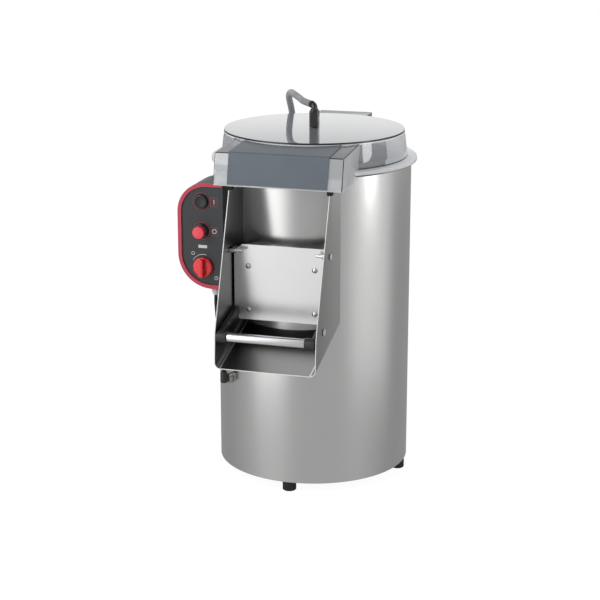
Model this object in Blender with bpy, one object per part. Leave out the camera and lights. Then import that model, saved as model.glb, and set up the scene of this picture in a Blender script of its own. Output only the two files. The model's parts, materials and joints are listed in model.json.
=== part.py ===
# Potato peeler machine: a steel drum on rubber feet, with a clear hinged lid, a turning abrasive
# plate driven by a belt, a folded discharge chute with a hinged door and its handle, and a
# control box on the left.
# Metres, +Z up, front towards -Y. The drum's axis is an upright line through the empty "machine".
import bpy
import bmesh
from math import sin, cos, tan, pi, radians, atan2
from mathutils import Vector, Matrix

for old in list(bpy.data.objects):
    bpy.data.objects.remove(old)

# Fits shared by all pieces
GAP = 0.0003
OVERRUN = 0.004
WELD_SHARE = 1e-6
FINE_STEPS = 48
ROUND_STEPS = 24
SMALL_STEPS = 12

# Drum
BODY_RADIUS = 0.1975
BODY_HEIGHT = 0.629
BODY_SHEET = 0.0015
FOOT_HEIGHT = 0.020
FOOT_RADIUS = 0.014
FOOT_CHAMFER = 0.0015
STUD_RADIUS = 0.004
STUD_RISE = 0.008
BASE_SHEET = 0.003

# Peeling chamber
FLOOR_HEIGHT = 0.345
FLOOR_SHEET = 0.003
FLOOR_RIM = 0.020
HUB_HOLE_RADIUS = 0.028
LINER_WALL = 0.0045
LINER_TOP_DROP = 0.0437
PLATE_RADIUS = 0.186
PLATE_THICKNESS = 0.008
PLATE_HUB_RADIUS = 0.032
PLATE_HUB_DROP = 0.003
RIDGE_COUNT = 3
RIDGE_HEIGHT = 0.012
RIDGE_HALF_WIDTH = 0.028
RIDGE_INNER_RADIUS = 0.042
RIDGE_END_MARGIN = 0.006

# Drive: shaft, bearings, pulleys, belt and motor
SHAFT_RADIUS = 0.0125
SHAFT_COLLAR_RADIUS = 0.018
SHAFT_COLLAR_HEIGHT = 0.0034
SHAFT_THREAD = 0.014
SEAL_WIDTH = 0.007
NUT_RADIUS = 0.016
NUT_HEIGHT = 0.0177
NUT_CHAMFER = 0.006
BEARING_RADIUS = 0.0257
BEARING_WIDTH = 0.015
HOUSING_WALL = 0.010
HOUSING_LENGTH = 0.083
HOUSING_FLANGE_RADIUS = 0.060
HOUSING_FLANGE = 0.0117
HOUSING_SHOULDER = 0.0097
HOUSING_SHOULDER_RADIUS = 0.020
PULLEY_DROP = 0.099
PULLEY_WIDTH = 0.020
PULLEY_RADIUS = 0.075
MOTOR_PULLEY_RADIUS = 0.028
GROOVE_DEPTH = 0.009
GROOVE_WIDTH = 0.006
BELT_HEIGHT = 0.007
PULLEY_SPACING = 0.110
MOTOR_RADIUS = 0.062
MOTOR_LENGTH = 0.177
MOTOR_SHOULDER = 0.016
MOTOR_SHAFT_RADIUS = 0.0095
MOTOR_BORE_DEPTH = 0.050

# Drain at the back, under the chamber floor
DRAIN_RADIUS = 0.024
DRAIN_WALL = 0.002
DRAIN_OFFSET = 0.150
DRAIN_BEND = 0.040
DRAIN_DROP = 0.015
DRAIN_REACH = 0.284
BEND_STEPS = 5

# Outlet neck, door and door hinge
OUTLET_HALF_WIDTH = 0.086
OUTLET_WALL = 0.002
OUTLET_RISE = 0.033
OUTLET_HEIGHT = 0.129
OUTLET_REACH = 0.2307
DOOR_SEAL = 0.0032
DOOR_HALF_WIDTH = 0.096
DOOR_NOTCH_HALF_WIDTH = 0.0875
DOOR_SHEET = 0.0015
DOOR_OVERLAP_BOTTOM = 0.010
DOOR_OVERLAP_TOP = 0.012
DOOR_CORNER = 0.016
HINGE_RISE = 0.002
HINGE_STANDOFF = 0.014
HINGE_PIN_RADIUS = 0.003
HINGE_PIN_HEAD_RADIUS = 0.006
HINGE_PIN_REACH = 0.026
KNUCKLE_RADIUS = 0.0055
KNUCKLE_WIDTH = 0.011
SCREW_HALF_SPREAD = 0.067
SCREW_LOW = 0.020
SCREW_SPAN = 0.088
SCREW_SHANK_RADIUS = 0.0025
SCREW_HEAD_RADIUS = 0.0055
HEAD_HEIGHT = 0.0025

# Discharge chute, one sheet folded to a U
CHUTE_HALF_WIDTH = 0.1007
CHUTE_SHEET = 0.0015
CHUTE_BEND = 0.012
CHUTE_TOP_DROP = 0.019
CHUTE_TOP_REACH = 0.252
CHUTE_KNEE_REACH = 0.346
CHUTE_KNEE_HEIGHT = 0.373
CHUTE_LIP_REACH = 0.351
CHUTE_LIP_HEIGHT = 0.302
CHUTE_ROOT_REACH = 0.169
CHUTE_ROOT_HEIGHT = 0.350

# Handle across the chute
PIVOT_REACH = 0.295
PIVOT_HEIGHT = 0.375
PIVOT_RADIUS = 0.004
PIVOT_HEAD_RADIUS = 0.007
ARM_GAP = 0.0008
ARM_WIDTH = 0.009
ARM_DEPTH = 0.016
ARM_TILT = radians(12)
ARM_BACK = 0.0637
GRIP_ARM = 0.0450
GRIP_TILT = radians(14.9)
GRIP_RADIUS = 0.009
GRIP_WALL = 0.002
GRIP_HALF_LENGTH = 0.0767
BOSS_RADIUS = 0.0115
PLUG_LENGTH = 0.012

# Lid
SEAL_HEIGHT = 0.0024
LID_SEAL_WIDTH = 0.0055
LID_FLANGE_RADIUS = 0.209
LID_FLANGE = 0.009
LID_SKIRT_RADIUS = 0.188
LID_SKIRT_HEIGHT = 0.011
LID_HEIGHT = 0.063
LID_DISC_RADIUS = 0.183
LID_WALL = 0.003
HOOD_HALF_WIDTH = 0.1275
HOOD_STEP = 0.004
HOOD_TOP_FALL = 0.008
HOOD_TOP_REACH = 0.252
HOOD_FOOT_REACH = 0.266
PANEL_HALF_WIDTH = 0.099
PANEL_SHEET = 0.002
PANEL_LIFT = 0.003
PANEL_CLEARANCE = 0.0024
BUMPER_HEIGHT = 0.0104
BUMPER_WIDTH = 0.010
BUMPER_DEPTH = 0.014
BUMPER_CORNER = 0.002

# Lid hinge at the back
HINGE_BOX_HALF_WIDTH = 0.057
HINGE_BOX_STANDOFF = 0.053
HINGE_BOX_TOP_DROP = 0.007
HINGE_BOX_DEPTH = 0.032
HINGE_BOX_ROOT = 0.192
LID_AXIS_STANDOFF = 0.041
LID_AXIS_DROP = 0.025
LID_PIN_RADIUS = 0.004
LID_PIN_HEAD_RADIUS = 0.006
LID_PIN_HEAD = 0.002
BRACKET_HALF_WIDTH = 0.028
BRACKET_HEIGHT = 0.081
BRACKET_EYE_RADIUS = 0.009
BRACKET_CLEARANCE = 0.004
BRACKET_THICKNESS = 0.020
BRACKET_TOP_DROP = 0.008

# Water inlet: fitting, nozzle, hose and valve
FITTING_HALF_WIDTH = 0.009
FITTING_HEIGHT = 0.0342
FITTING_CHAMFER = 0.002
ELBOW_RADIUS = 0.0065
ELBOW_BEND = 0.0072
ELBOW_RISE = 0.011
ELBOW_LENGTH = 0.011
ELBOW_DIRECTION = (-0.76, 0.65, 0.06)
NOZZLE_STEM_RADIUS = 0.006
NOZZLE_RADIUS = 0.011
NOZZLE_COLLAR_RADIUS = 0.009
NOZZLE_COLLAR = 0.006
NOZZLE_LENGTH = 0.018
HOSE_RADIUS = 0.007
# The hose's route over the back of the lid, chosen by hand: shares of the valve's reach across
# and back, and of the lid's height above its top.
HOSE_ROUTE = ((-0.137, 0.124, 0.768), (-0.199, 0.217, 0.806), (-0.273, 0.326, 0.846), (-0.345, 0.452, 0.843),
              (-0.397, 0.565, 0.702), (-0.435, 0.696, 0.475), (-0.460, 0.835, 0.132), (-0.470, 0.926, -0.254),
              (-0.450, 0.939, -0.730), (-0.428, 0.922, -1.127))
VALVE_ANGLE = radians(24.7)
VALVE_REACH = 0.230
VALVE_OUTER_REACH = 0.245
VALVE_HALF_WIDTH = 0.017
VALVE_HEIGHT = 0.026
VALVE_TOP_DROP = 0.050
BARB_RADIUS = 0.0065
BARB_LENGTH = 0.0197
THREAD_RADIUS = 0.010
THREAD_LENGTH = 0.027

# Control box
BOX_OVERHANG = 0.0265
BOX_WIDTH = 0.094
BOX_TOP_DROP = 0.018
BOX_HEIGHT = 0.214
BOX_TOP_RADIUS = 0.060
BOX_BOTTOM_RADIUS = 0.070
BOX_FRONT_REACH = 0.197
BOX_DEPTH = 0.079
BOX_WALL = 0.003
POCKET_DEPTH = 0.037
FACE_SHEET = 0.0029
TRIM_WIDTH = 0.008
TRIM_SHEET = 0.0027
CORNER_STEPS = 6
BUTTON_INSET = 0.045
START_DROP = 0.038
STOP_SHARE = 0.547
KNOB_INSET = 0.042
KNOB_RISE = 0.044
BEZEL_RADIUS = 0.015
BEZEL_HEIGHT = 0.006
BARREL_RADIUS = 0.0121
BARREL_BORE = 0.0114
BARREL_DEPTH = 0.015
BUTTON_RADIUS = 0.011
BUTTON_DEPTH = 0.013
STOP_CAP_RADIUS = 0.012
STOP_CAP_START = 0.0105
STOP_HEIGHT = 0.022
EDGE_ROUND = 0.001
KNOB_RADIUS = 0.0205
KNOB_SKIRT = 0.008
KNOB_HEIGHT = 0.020
KNOB_BAR_WIDTH = 0.011
KNOB_SHAFT_RADIUS = 0.003
KNOB_SHAFT = 0.010

# Glands and the motor lead
BOX_GLAND_INSET = 0.0245
BOX_GLAND_REACH = 0.178
GLAND_RADIUS = 0.009
GLAND_THREAD_RADIUS = 0.005
GLAND_THREAD = 0.007
GLAND_NUT = 0.008
GLAND_LENGTH = 0.017
GLAND_NECK_RADIUS = 0.006
BODY_GLAND_ANGLE = radians(44)
BODY_GLAND_HEIGHT = 0.214
BODY_GLAND_RADIUS = 0.011
BODY_GLAND_NUT = 0.007
BODY_GLAND_REACH = 0.016
ELBOW_BODY_RADIUS = 0.0075
ELBOW_BODY_RISE = 0.016
LEAD_RADIUS = 0.0035
ROUTE_STEPS = 4

# Heights that follow from the sizes above
body_bottom = FOOT_HEIGHT
body_top = body_bottom + BODY_HEIGHT
floor_top = FLOOR_HEIGHT + FLOOR_SHEET
seal_top = body_top + GAP + SEAL_HEIGHT
lid_bottom = seal_top + GAP
lid_top = lid_bottom + LID_HEIGHT
outlet_bottom = floor_top + OUTLET_RISE
outlet_top = outlet_bottom + OUTLET_HEIGHT
chute_top = body_top - CHUTE_TOP_DROP
hood_bottom = chute_top + GAP + BUMPER_HEIGHT + GAP
lid_axis_height = lid_top - LID_AXIS_DROP
hinge_box_reach = LID_FLANGE_RADIUS + HINGE_BOX_STANDOFF
box_top = body_top - BOX_TOP_DROP
box_bottom = box_top - BOX_HEIGHT
box_left = -BODY_RADIUS - BOX_OVERHANG
box_right = box_left + BOX_WIDTH

# The origin is the middle of the footprint of the whole machine: the control box reaches
# furthest left, the lid's flange right, the chute's lip forward and the drain back.
AXIS_X = (-box_left - LID_FLANGE_RADIUS) / 2
AXIS_Y = (CHUTE_LIP_REACH - DRAIN_REACH) / 2
machine = bpy.data.objects.new("machine", None)
machine.location = (AXIS_X, AXIS_Y, 0)
bpy.context.collection.objects.link(machine)


def material(name, colour, metallic, roughness):
    made = bpy.data.materials.new(name)
    made.use_nodes = True
    shader = made.node_tree.nodes["Principled BSDF"]
    shader.inputs["Base Color"].default_value = (*colour, 1)
    shader.inputs["Metallic"].default_value = metallic
    shader.inputs["Roughness"].default_value = roughness
    return made


SATIN_STEEL = material("satin_steel", (0.52, 0.51, 0.50), 1, 0.32)
DARK_STEEL = material("dark_steel", (0.22, 0.22, 0.22), 1, 0.38)
ALUMINIUM = material("aluminium", (0.80, 0.80, 0.81), 1, 0.25)
CLEAR = material("clear_polycarbonate", (0.86, 0.88, 0.90), 0, 0.05)
SLATE = material("slate_sheet", (0.16, 0.19, 0.22), 0, 0.45)
BLACK = material("black_moulding", (0.02, 0.02, 0.02), 0, 0.50)
RUBBER = material("black_rubber", (0.015, 0.015, 0.015), 0, 0.80)
GREY_PLASTIC = material("grey_plastic", (0.30, 0.31, 0.32), 0, 0.50)
CHARCOAL = material("charcoal_panel", (0.06, 0.06, 0.065), 0, 0.45)
RED = material("red_moulding", (0.72, 0.03, 0.06), 0, 0.35)
TRIM_RED = material("red_trim", (0.62, 0.09, 0.13), 0, 0.40)
ABRASIVE = material("abrasive_grit", (0.12, 0.11, 0.10), 0, 0.95)
HOSE_GREY = material("hose_grey", (0.48, 0.49, 0.50), 0, 0.45)
CAST_ALUMINIUM = material("cast_aluminium", (0.45, 0.46, 0.47), 1, 0.50)


# Closes a mesh properly: doubled points merged and every face turned outwards.
def tidy(shape):
    bmesh.ops.remove_doubles(shape, verts=shape.verts, dist=WELD_SHARE * BODY_RADIUS)
    bmesh.ops.recalc_face_normals(shape, faces=shape.faces)
    return shape


# Turns a closed outline of (radius, height) about a line through "at" along "along".
def lathe(outline, steps, at=(0, 0, 0), along=(0, 0, 1)):
    shape = bmesh.new()
    points = [shape.verts.new((radius, 0, height)) for radius, height in outline]
    edges = [shape.edges.new((points[i - 1], points[i])) for i in range(len(points))]
    bmesh.ops.spin(shape, geom=points + edges, cent=(0, 0, 0), axis=(0, 0, 1), angle=2 * pi,
                   steps=steps, use_merge=True)
    return stand(tidy(shape), at, along)


# Turns a shape made along +Z to lie along another line.
def stand(shape, at, along):
    turn = Vector((0, 0, 1)).rotation_difference(Vector(along).normalized()).to_matrix().to_4x4()
    bmesh.ops.transform(shape, matrix=Matrix.Translation(at) @ turn, verts=shape.verts)
    return shape


# Pushes a flat outline along an axis: (y, z) points for X, (x, z) for Y and (x, y) for Z.
def prism(outline, axis, low, high, skew=0):
    places = {"X": lambda a, b: (low, a, b), "Y": lambda a, b: (a, low, b), "Z": lambda a, b: (a, b, low)}
    pushes = {"X": (high - low, 0, 0), "Y": (0, high - low, skew), "Z": (0, 0, high - low)}
    shape = bmesh.new()
    face = shape.faces.new([shape.verts.new(places[axis](a, b)) for a, b in outline])
    grown = bmesh.ops.extrude_face_region(shape, geom=[face])
    moved = [item for item in grown["geom"] if isinstance(item, bmesh.types.BMVert)]
    bmesh.ops.translate(shape, verts=moved, vec=pushes[axis])
    return tidy(shape)


# A round bar between two distances along a line.
def rod(radius, low, high, steps, at=(0, 0, 0), along=(0, 0, 1)):
    circle = [(radius * cos(2 * pi * i / steps), radius * sin(2 * pi * i / steps)) for i in range(steps)]
    return stand(prism(circle, "Z", low, high), at, along)


def block(low, high):
    outline = [(low[0], low[1]), (high[0], low[1]), (high[0], high[1]), (low[0], high[1])]
    return prism(outline, "Z", low[2], high[2])


# Points of a round corner, both ends included.
def arc(centre, radius, start, end, steps):
    angles = [start + (end - start) * i / steps for i in range(steps + 1)]
    return [(centre[0] + radius * cos(a), centre[1] + radius * sin(a)) for a in angles]


# Puts a shape in the scene under the drum's empty, with its origin at "pivot".
def add(name, shape, finish, pivot=(0, 0, 0)):
    bmesh.ops.translate(shape, verts=shape.verts, vec=-Vector(pivot))
    mesh = bpy.data.meshes.new(name)
    shape.to_mesh(mesh)
    shape.free()
    mesh.shade_smooth()
    mesh.set_sharp_from_angle(angle=radians(35))
    piece = bpy.data.objects.new(name, mesh)
    piece.location = pivot
    piece.parent = machine
    if finish:
        piece.data.materials.append(finish)
    bpy.context.collection.objects.link(piece)
    return piece


# A helper solid for a Boolean. It isn't part of the machine.
def tool(name, shape):
    helper = add(name, shape, None)
    helper.hide_render = True
    helper.display_type = "WIRE"
    return helper


def combine(piece, operation, *helpers):
    for helper in helpers:
        change = piece.modifiers.new(helper.name, "BOOLEAN")
        change.operation = operation
        change.object = helper
        change.solver = "EXACT"


def cut(piece, *helpers):
    combine(piece, "DIFFERENCE", *helpers)


def fuse(piece, *helpers):
    combine(piece, "UNION", *helpers)


# The space that the drum takes, with a fitting gap: whatever is welded or screwed to the drum's
# outside is trimmed to it.
drum_space = tool("drum_space", rod(BODY_RADIUS + GAP, body_bottom - OVERRUN, body_top + OVERRUN, FINE_STEPS))


def make_drum():
    inner = BODY_RADIUS - BODY_SHEET
    outline = [(inner, body_bottom), (BODY_RADIUS, body_bottom), (BODY_RADIUS, body_top), (inner, body_top)]
    shell = add("body_shell", lathe(outline, FINE_STEPS), SATIN_STEEL)
    window = tool("outlet_window", block(
        (OUTLET_WALL - OUTLET_HALF_WIDTH, -BODY_RADIUS - OVERRUN, outlet_bottom + OUTLET_WALL),
        (OUTLET_HALF_WIDTH - OUTLET_WALL, -PLATE_RADIUS / 2, outlet_top - OUTLET_WALL)))
    drain_hole = tool("drain_wall_hole", rod(DRAIN_RADIUS + GAP, BODY_RADIUS / 2, BODY_RADIUS + OVERRUN,
                                             ROUND_STEPS, (0, 0, drain_height), (0, 1, 0)))
    gland_hole = tool("gland_wall_hole", rod(GLAND_THREAD_RADIUS + GAP, BODY_RADIUS / 2,
                                             BODY_RADIUS + OVERRUN, SMALL_STEPS,
                                             (0, 0, BODY_GLAND_HEIGHT), gland_direction))
    cut(shell, window, drain_hole, gland_hole)

    liner_outer = inner - GAP
    liner_low = FLOOR_HEIGHT + FLOOR_RIM + FLOOR_SHEET + GAP
    liner_high = body_top - LINER_TOP_DROP
    liner = add("abrasive_liner", lathe([
        (liner_outer - LINER_WALL, liner_low), (liner_outer, liner_low),
        (liner_outer, liner_high), (liner_outer - LINER_WALL, liner_high)], FINE_STEPS), ABRASIVE)
    cut(liner, window)

    rim_top = FLOOR_HEIGHT + FLOOR_SHEET + FLOOR_RIM
    floor = add("chamber_floor", lathe([
        (HUB_HOLE_RADIUS, FLOOR_HEIGHT), (liner_outer, FLOOR_HEIGHT), (liner_outer, rim_top),
        (liner_outer - BODY_SHEET, rim_top), (liner_outer - BODY_SHEET, floor_top),
        (HUB_HOLE_RADIUS, floor_top)], FINE_STEPS), SATIN_STEEL)
    cut(floor, tool("drain_floor_hole", rod(DRAIN_RADIUS - DRAIN_WALL, FLOOR_HEIGHT - OVERRUN,
                                            floor_top + OVERRUN, ROUND_STEPS, (0, DRAIN_OFFSET, 0))))

    base = add("base_plate", rod(liner_outer, body_bottom, body_bottom + BASE_SHEET, FINE_STEPS), DARK_STEEL)
    foot_circle = BODY_RADIUS - FOOT_RADIUS
    places = {"front": (0, -foot_circle), "right": (foot_circle, 0),
              "rear": (0, foot_circle), "left": (-foot_circle, 0)}
    foot_top = body_bottom - GAP
    for side, (x, y) in places.items():
        cut(base, tool("stud_hole_" + side, rod(STUD_RADIUS + GAP, body_bottom - OVERRUN,
                                                body_bottom + BASE_SHEET + OVERRUN, SMALL_STEPS, (x, y, 0))))
        add("foot_" + side, lathe([
            (0, 0), (FOOT_RADIUS - FOOT_CHAMFER, 0), (FOOT_RADIUS, FOOT_CHAMFER),
            (FOOT_RADIUS, foot_top - FOOT_CHAMFER), (FOOT_RADIUS - FOOT_CHAMFER, foot_top),
            (STUD_RADIUS, foot_top), (STUD_RADIUS, foot_top + STUD_RISE), (0, foot_top + STUD_RISE)],
            SMALL_STEPS, (x, y, 0)), RUBBER)


# Everything that turns with the abrasive plate, and the housing that carries it.
def make_drive():
    shoulder_low = FLOOR_HEIGHT - GAP - HOUSING_SHOULDER
    flange_top = FLOOR_HEIGHT - GAP
    housing_bore = BEARING_RADIUS + GAP
    housing_radius = housing_bore + HOUSING_WALL
    housing_low = flange_top - HOUSING_LENGTH
    add("bearing_housing", lathe([
        (housing_bore, housing_low), (housing_radius, housing_low),
        (housing_radius, flange_top - HOUSING_FLANGE), (HOUSING_FLANGE_RADIUS, flange_top - HOUSING_FLANGE),
        (HOUSING_FLANGE_RADIUS, flange_top), (HOUSING_SHOULDER_RADIUS, flange_top),
        (HOUSING_SHOULDER_RADIUS, shoulder_low), (housing_bore, shoulder_low)], ROUND_STEPS), CAST_ALUMINIUM)

    shaft_clear = SHAFT_RADIUS + GAP
    for name, low in (("bearing_upper", shoulder_low - GAP - BEARING_WIDTH), ("bearing_lower", housing_low)):
        add(name, lathe([(shaft_clear, low), (BEARING_RADIUS, low), (BEARING_RADIUS, low + BEARING_WIDTH),
                         (shaft_clear, low + BEARING_WIDTH)], ROUND_STEPS), SATIN_STEEL)
    seal_low = FLOOR_HEIGHT
    seal_high = seal_low + SEAL_WIDTH
    add("shaft_seal", lathe([(shaft_clear, seal_low), (HUB_HOLE_RADIUS - GAP, seal_low),
                             (HUB_HOLE_RADIUS - GAP, seal_high), (shaft_clear, seal_high)], ROUND_STEPS), RUBBER)

    collar_low = seal_high + GAP
    collar_high = collar_low + SHAFT_COLLAR_HEIGHT
    hub_low = collar_high + GAP
    plate_low = hub_low + PLATE_HUB_DROP
    plate_high = plate_low + PLATE_THICKNESS
    shaft_high = plate_high + SHAFT_THREAD
    pulley_low = flange_top - PULLEY_DROP - PULLEY_WIDTH
    add("drive_shaft", lathe([
        (0, pulley_low), (SHAFT_RADIUS, pulley_low), (SHAFT_RADIUS, collar_low),
        (SHAFT_COLLAR_RADIUS, collar_low), (SHAFT_COLLAR_RADIUS, collar_high), (SHAFT_RADIUS, collar_high),
        (SHAFT_RADIUS, shaft_high), (0, shaft_high)], ROUND_STEPS), SATIN_STEEL)

    plate = add("peeling_plate", lathe([
        (shaft_clear, hub_low), (PLATE_HUB_RADIUS, hub_low), (PLATE_HUB_RADIUS, plate_low),
        (PLATE_RADIUS, plate_low), (PLATE_RADIUS, plate_high), (shaft_clear, plate_high)], FINE_STEPS), ABRASIVE)
    outer = PLATE_RADIUS - RIDGE_END_MARGIN
    across = [i / CORNER_STEPS for i in range(-CORNER_STEPS, CORNER_STEPS + 1)]
    crown = [(RIDGE_HALF_WIDTH * s, plate_high + RIDGE_HEIGHT * (1 + cos(pi * s)) / 2) for s in across]
    sunk = plate_high - PLATE_THICKNESS / 2
    for i in range(RIDGE_COUNT):
        ridge = prism([(RIDGE_HALF_WIDTH, sunk), *reversed(crown), (-RIDGE_HALF_WIDTH, sunk)],
                      "Y", RIDGE_INNER_RADIUS, outer * cos(atan2(RIDGE_HALF_WIDTH, outer)))
        bmesh.ops.rotate(ridge, verts=ridge.verts, cent=(0, 0, 0),
                         matrix=Matrix.Rotation(2 * pi * i / RIDGE_COUNT, 3, "Z"))
        fuse(plate, tool("plate_ridge_%d" % i, ridge))

    nut_low = plate_high + GAP
    nut_high = nut_low + NUT_HEIGHT
    add("plate_nut", lathe([
        (0, nut_high), (NUT_RADIUS - NUT_CHAMFER, nut_high), (NUT_RADIUS, nut_high - NUT_CHAMFER),
        (NUT_RADIUS, nut_low), (shaft_clear, nut_low), (shaft_clear, shaft_high + GAP),
        (0, shaft_high + GAP)], ROUND_STEPS), SATIN_STEEL)

    motor_low = body_bottom + BASE_SHEET + GAP
    motor_high = motor_low + MOTOR_LENGTH
    bore_low = motor_high - MOTOR_BORE_DEPTH
    motor_clear = MOTOR_SHAFT_RADIUS + GAP
    motor_at = (0, -PULLEY_SPACING, 0)
    add("motor", lathe([
        (0, motor_low), (MOTOR_RADIUS, motor_low), (MOTOR_RADIUS, motor_high - MOTOR_SHOULDER),
        (MOTOR_RADIUS - MOTOR_SHOULDER, motor_high), (motor_clear, motor_high), (motor_clear, bore_low),
        (0, bore_low)], ROUND_STEPS, motor_at), CAST_ALUMINIUM)
    add("motor_shaft", rod(MOTOR_SHAFT_RADIUS, bore_low + GAP, pulley_low + PULLEY_WIDTH, SMALL_STEPS,
                           motor_at), SATIN_STEEL, motor_at)

    groove_low = pulley_low + (PULLEY_WIDTH - GROOVE_WIDTH) / 2
    groove_high = groove_low + GROOVE_WIDTH
    pulley_high = pulley_low + PULLEY_WIDTH
    for name, radius, bore, at in (("driven_pulley", PULLEY_RADIUS, shaft_clear, (0, 0, 0)),
                                   ("motor_pulley", MOTOR_PULLEY_RADIUS, motor_clear, motor_at)):
        add(name, lathe([
            (bore, pulley_low), (radius, pulley_low), (radius, groove_low), (radius - GROOVE_DEPTH, groove_low),
            (radius - GROOVE_DEPTH, groove_high), (radius, groove_high), (radius, pulley_high),
            (bore, pulley_high)], ROUND_STEPS, at), CAST_ALUMINIUM, at)

    add("drive_belt", belt_loop(groove_low + GAP, groove_high - GAP), RUBBER)


# The belt is a band between two loops: each is two arcs joined by straight runs.
def belt_loop(low, high):
    rings = []
    lean = atan2(PULLEY_RADIUS - MOTOR_PULLEY_RADIUS, PULLEY_SPACING)
    for extra in (GAP, BELT_HEIGHT):
        large = PULLEY_RADIUS - GROOVE_DEPTH + extra
        small = MOTOR_PULLEY_RADIUS - GROOVE_DEPTH + extra
        loop = arc((0, 0), large / cos(pi / ROUND_STEPS), -lean, pi + lean, ROUND_STEPS)
        loop += arc((0, -PULLEY_SPACING), small / cos(pi / ROUND_STEPS), pi + lean, 2 * pi - lean, ROUND_STEPS)
        rings.append(loop)
    shape = bmesh.new()
    levels = [[[shape.verts.new((x, y, z)) for x, y in loop] for loop in rings] for z in (low, high)]
    (inner_low, outer_low), (inner_high, outer_high) = levels
    bands = ((inner_low, outer_low), (outer_low, outer_high), (outer_high, inner_high), (inner_high, inner_low))
    for first, second in bands:
        for i in range(len(first)):
            shape.faces.new((first[i - 1], first[i], second[i], second[i - 1]))
    return tidy(shape)


# The waste pipe: down from the chamber floor, round a bend and out through the back of the drum.
def make_drain():
    bend_centre = (DRAIN_OFFSET + DRAIN_BEND, drain_height + DRAIN_BEND)
    stations = [((DRAIN_OFFSET, FLOOR_HEIGHT - GAP), pi)]
    for i in range(BEND_STEPS + 1):
        angle = pi + pi / 2 * i / BEND_STEPS
        stations.append(((bend_centre[0] + DRAIN_BEND * cos(angle), bend_centre[1] + DRAIN_BEND * sin(angle)), angle))
    stations.append(((DRAIN_REACH, drain_height), 3 * pi / 2))
    shape = bmesh.new()
    sections = []
    for (y, z), angle in stations:
        rings = []
        for radius in (DRAIN_RADIUS, DRAIN_RADIUS - DRAIN_WALL):
            ring = []
            for j in range(ROUND_STEPS):
                turn = 2 * pi * j / ROUND_STEPS
                side = radius * sin(turn)
                ring.append(shape.verts.new((radius * cos(turn), y + side * cos(angle), z + side * sin(angle))))
            rings.append(ring)
        sections.append(rings)
    for (outer_a, inner_a), (outer_b, inner_b) in zip(sections, sections[1:]):
        for j in range(ROUND_STEPS):
            shape.faces.new((outer_a[j - 1], outer_a[j], outer_b[j], outer_b[j - 1]))
            shape.faces.new((inner_a[j - 1], inner_a[j], inner_b[j], inner_b[j - 1]))
    for outer, inner in (sections[0], sections[-1]):
        for j in range(ROUND_STEPS):
            shape.faces.new((outer[j - 1], outer[j], inner[j], inner[j - 1]))
    add("drain_pipe", tidy(shape), GREY_PLASTIC)


# Outlet neck, and the door that closes it.
def make_outlet():
    neck = add("outlet_neck", block((-OUTLET_HALF_WIDTH, -OUTLET_REACH, outlet_bottom),
                                    (OUTLET_HALF_WIDTH, -BODY_RADIUS / 2, outlet_top)), SATIN_STEEL)
    inside = OUTLET_HALF_WIDTH - OUTLET_WALL
    cut(neck, drum_space, tool("neck_bore", block(
        (-inside, -OUTLET_REACH - OVERRUN, outlet_bottom + OUTLET_WALL),
        (inside, 0, outlet_top - OUTLET_WALL))))

    seal_back = -OUTLET_REACH - GAP
    seal_front = seal_back - DOOR_SEAL
    plate_back = seal_front - GAP
    plate_front = plate_back - DOOR_SHEET
    pad = add("door_gasket", block((-OUTLET_HALF_WIDTH, seal_front, outlet_bottom),
                                   (OUTLET_HALF_WIDTH, seal_back, outlet_top)), RUBBER, door_axis)
    low = outlet_bottom - DOOR_OVERLAP_BOTTOM
    high = outlet_top + DOOR_OVERLAP_TOP
    wide, narrow = DOOR_HALF_WIDTH, DOOR_NOTCH_HALF_WIDTH
    door = add("door_plate", prism([
        (-narrow, low), (narrow, low), (narrow, shoulder), (wide, shoulder), (wide, high),
        (DOOR_CORNER - wide, high), (-wide, high - DOOR_CORNER), (-wide, shoulder), (-narrow, shoulder)],
        "Y", plate_front, plate_back), SATIN_STEEL, door_axis)
    axis_y, axis_z = door_axis[1], door_axis[2]
    eye = arc((axis_y, axis_z), KNUCKLE_RADIUS, pi / 2, 3 * pi / 2, CORNER_STEPS)
    tongue = plate_back - DOOR_SHEET / 2
    for side in (-1, 1):
        ends = sorted((side * (wide - KNUCKLE_WIDTH), side * wide))
        fuse(door, tool("knuckle_%d" % side, prism(
            [(tongue, axis_z + KNUCKLE_RADIUS), *eye, (tongue, axis_z - KNUCKLE_RADIUS)], "X", *ends)))
    cut(door, tool("knuckle_bore", rod(HINGE_PIN_RADIUS + GAP, -wide - OVERRUN, wide + OVERRUN, SMALL_STEPS,
                                       door_axis, (1, 0, 0))))

    holes = []
    for number, (side, rise) in enumerate(((-1, 0), (1, 0), (-1, SCREW_SPAN), (1, SCREW_SPAN)), 1):
        at = (side * SCREW_HALF_SPREAD, 0, outlet_bottom + SCREW_LOW - DOOR_OVERLAP_BOTTOM + rise)
        holes.append(tool("screw_hole_%d" % number, rod(
            SCREW_SHANK_RADIUS + GAP, -plate_back - DOOR_SEAL - OVERRUN, -plate_front + OVERRUN, SMALL_STEPS,
            at, (0, -1, 0))))
        head = -plate_front + GAP
        add("door_screw_%d" % number, lathe([
            (0, -seal_back), (SCREW_SHANK_RADIUS, -seal_back), (SCREW_SHANK_RADIUS, head),
            (SCREW_HEAD_RADIUS, head), (SCREW_HEAD_RADIUS - EDGE_ROUND / 2, head + HEAD_HEIGHT - EDGE_ROUND),
            (SCREW_HEAD_RADIUS - 2 * EDGE_ROUND, head + HEAD_HEIGHT), (0, head + HEAD_HEIGHT)],
            SMALL_STEPS, at, (0, -1, 0)), SATIN_STEEL, door_axis)
    cut(door, *holes)
    cut(pad, *holes)


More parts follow.
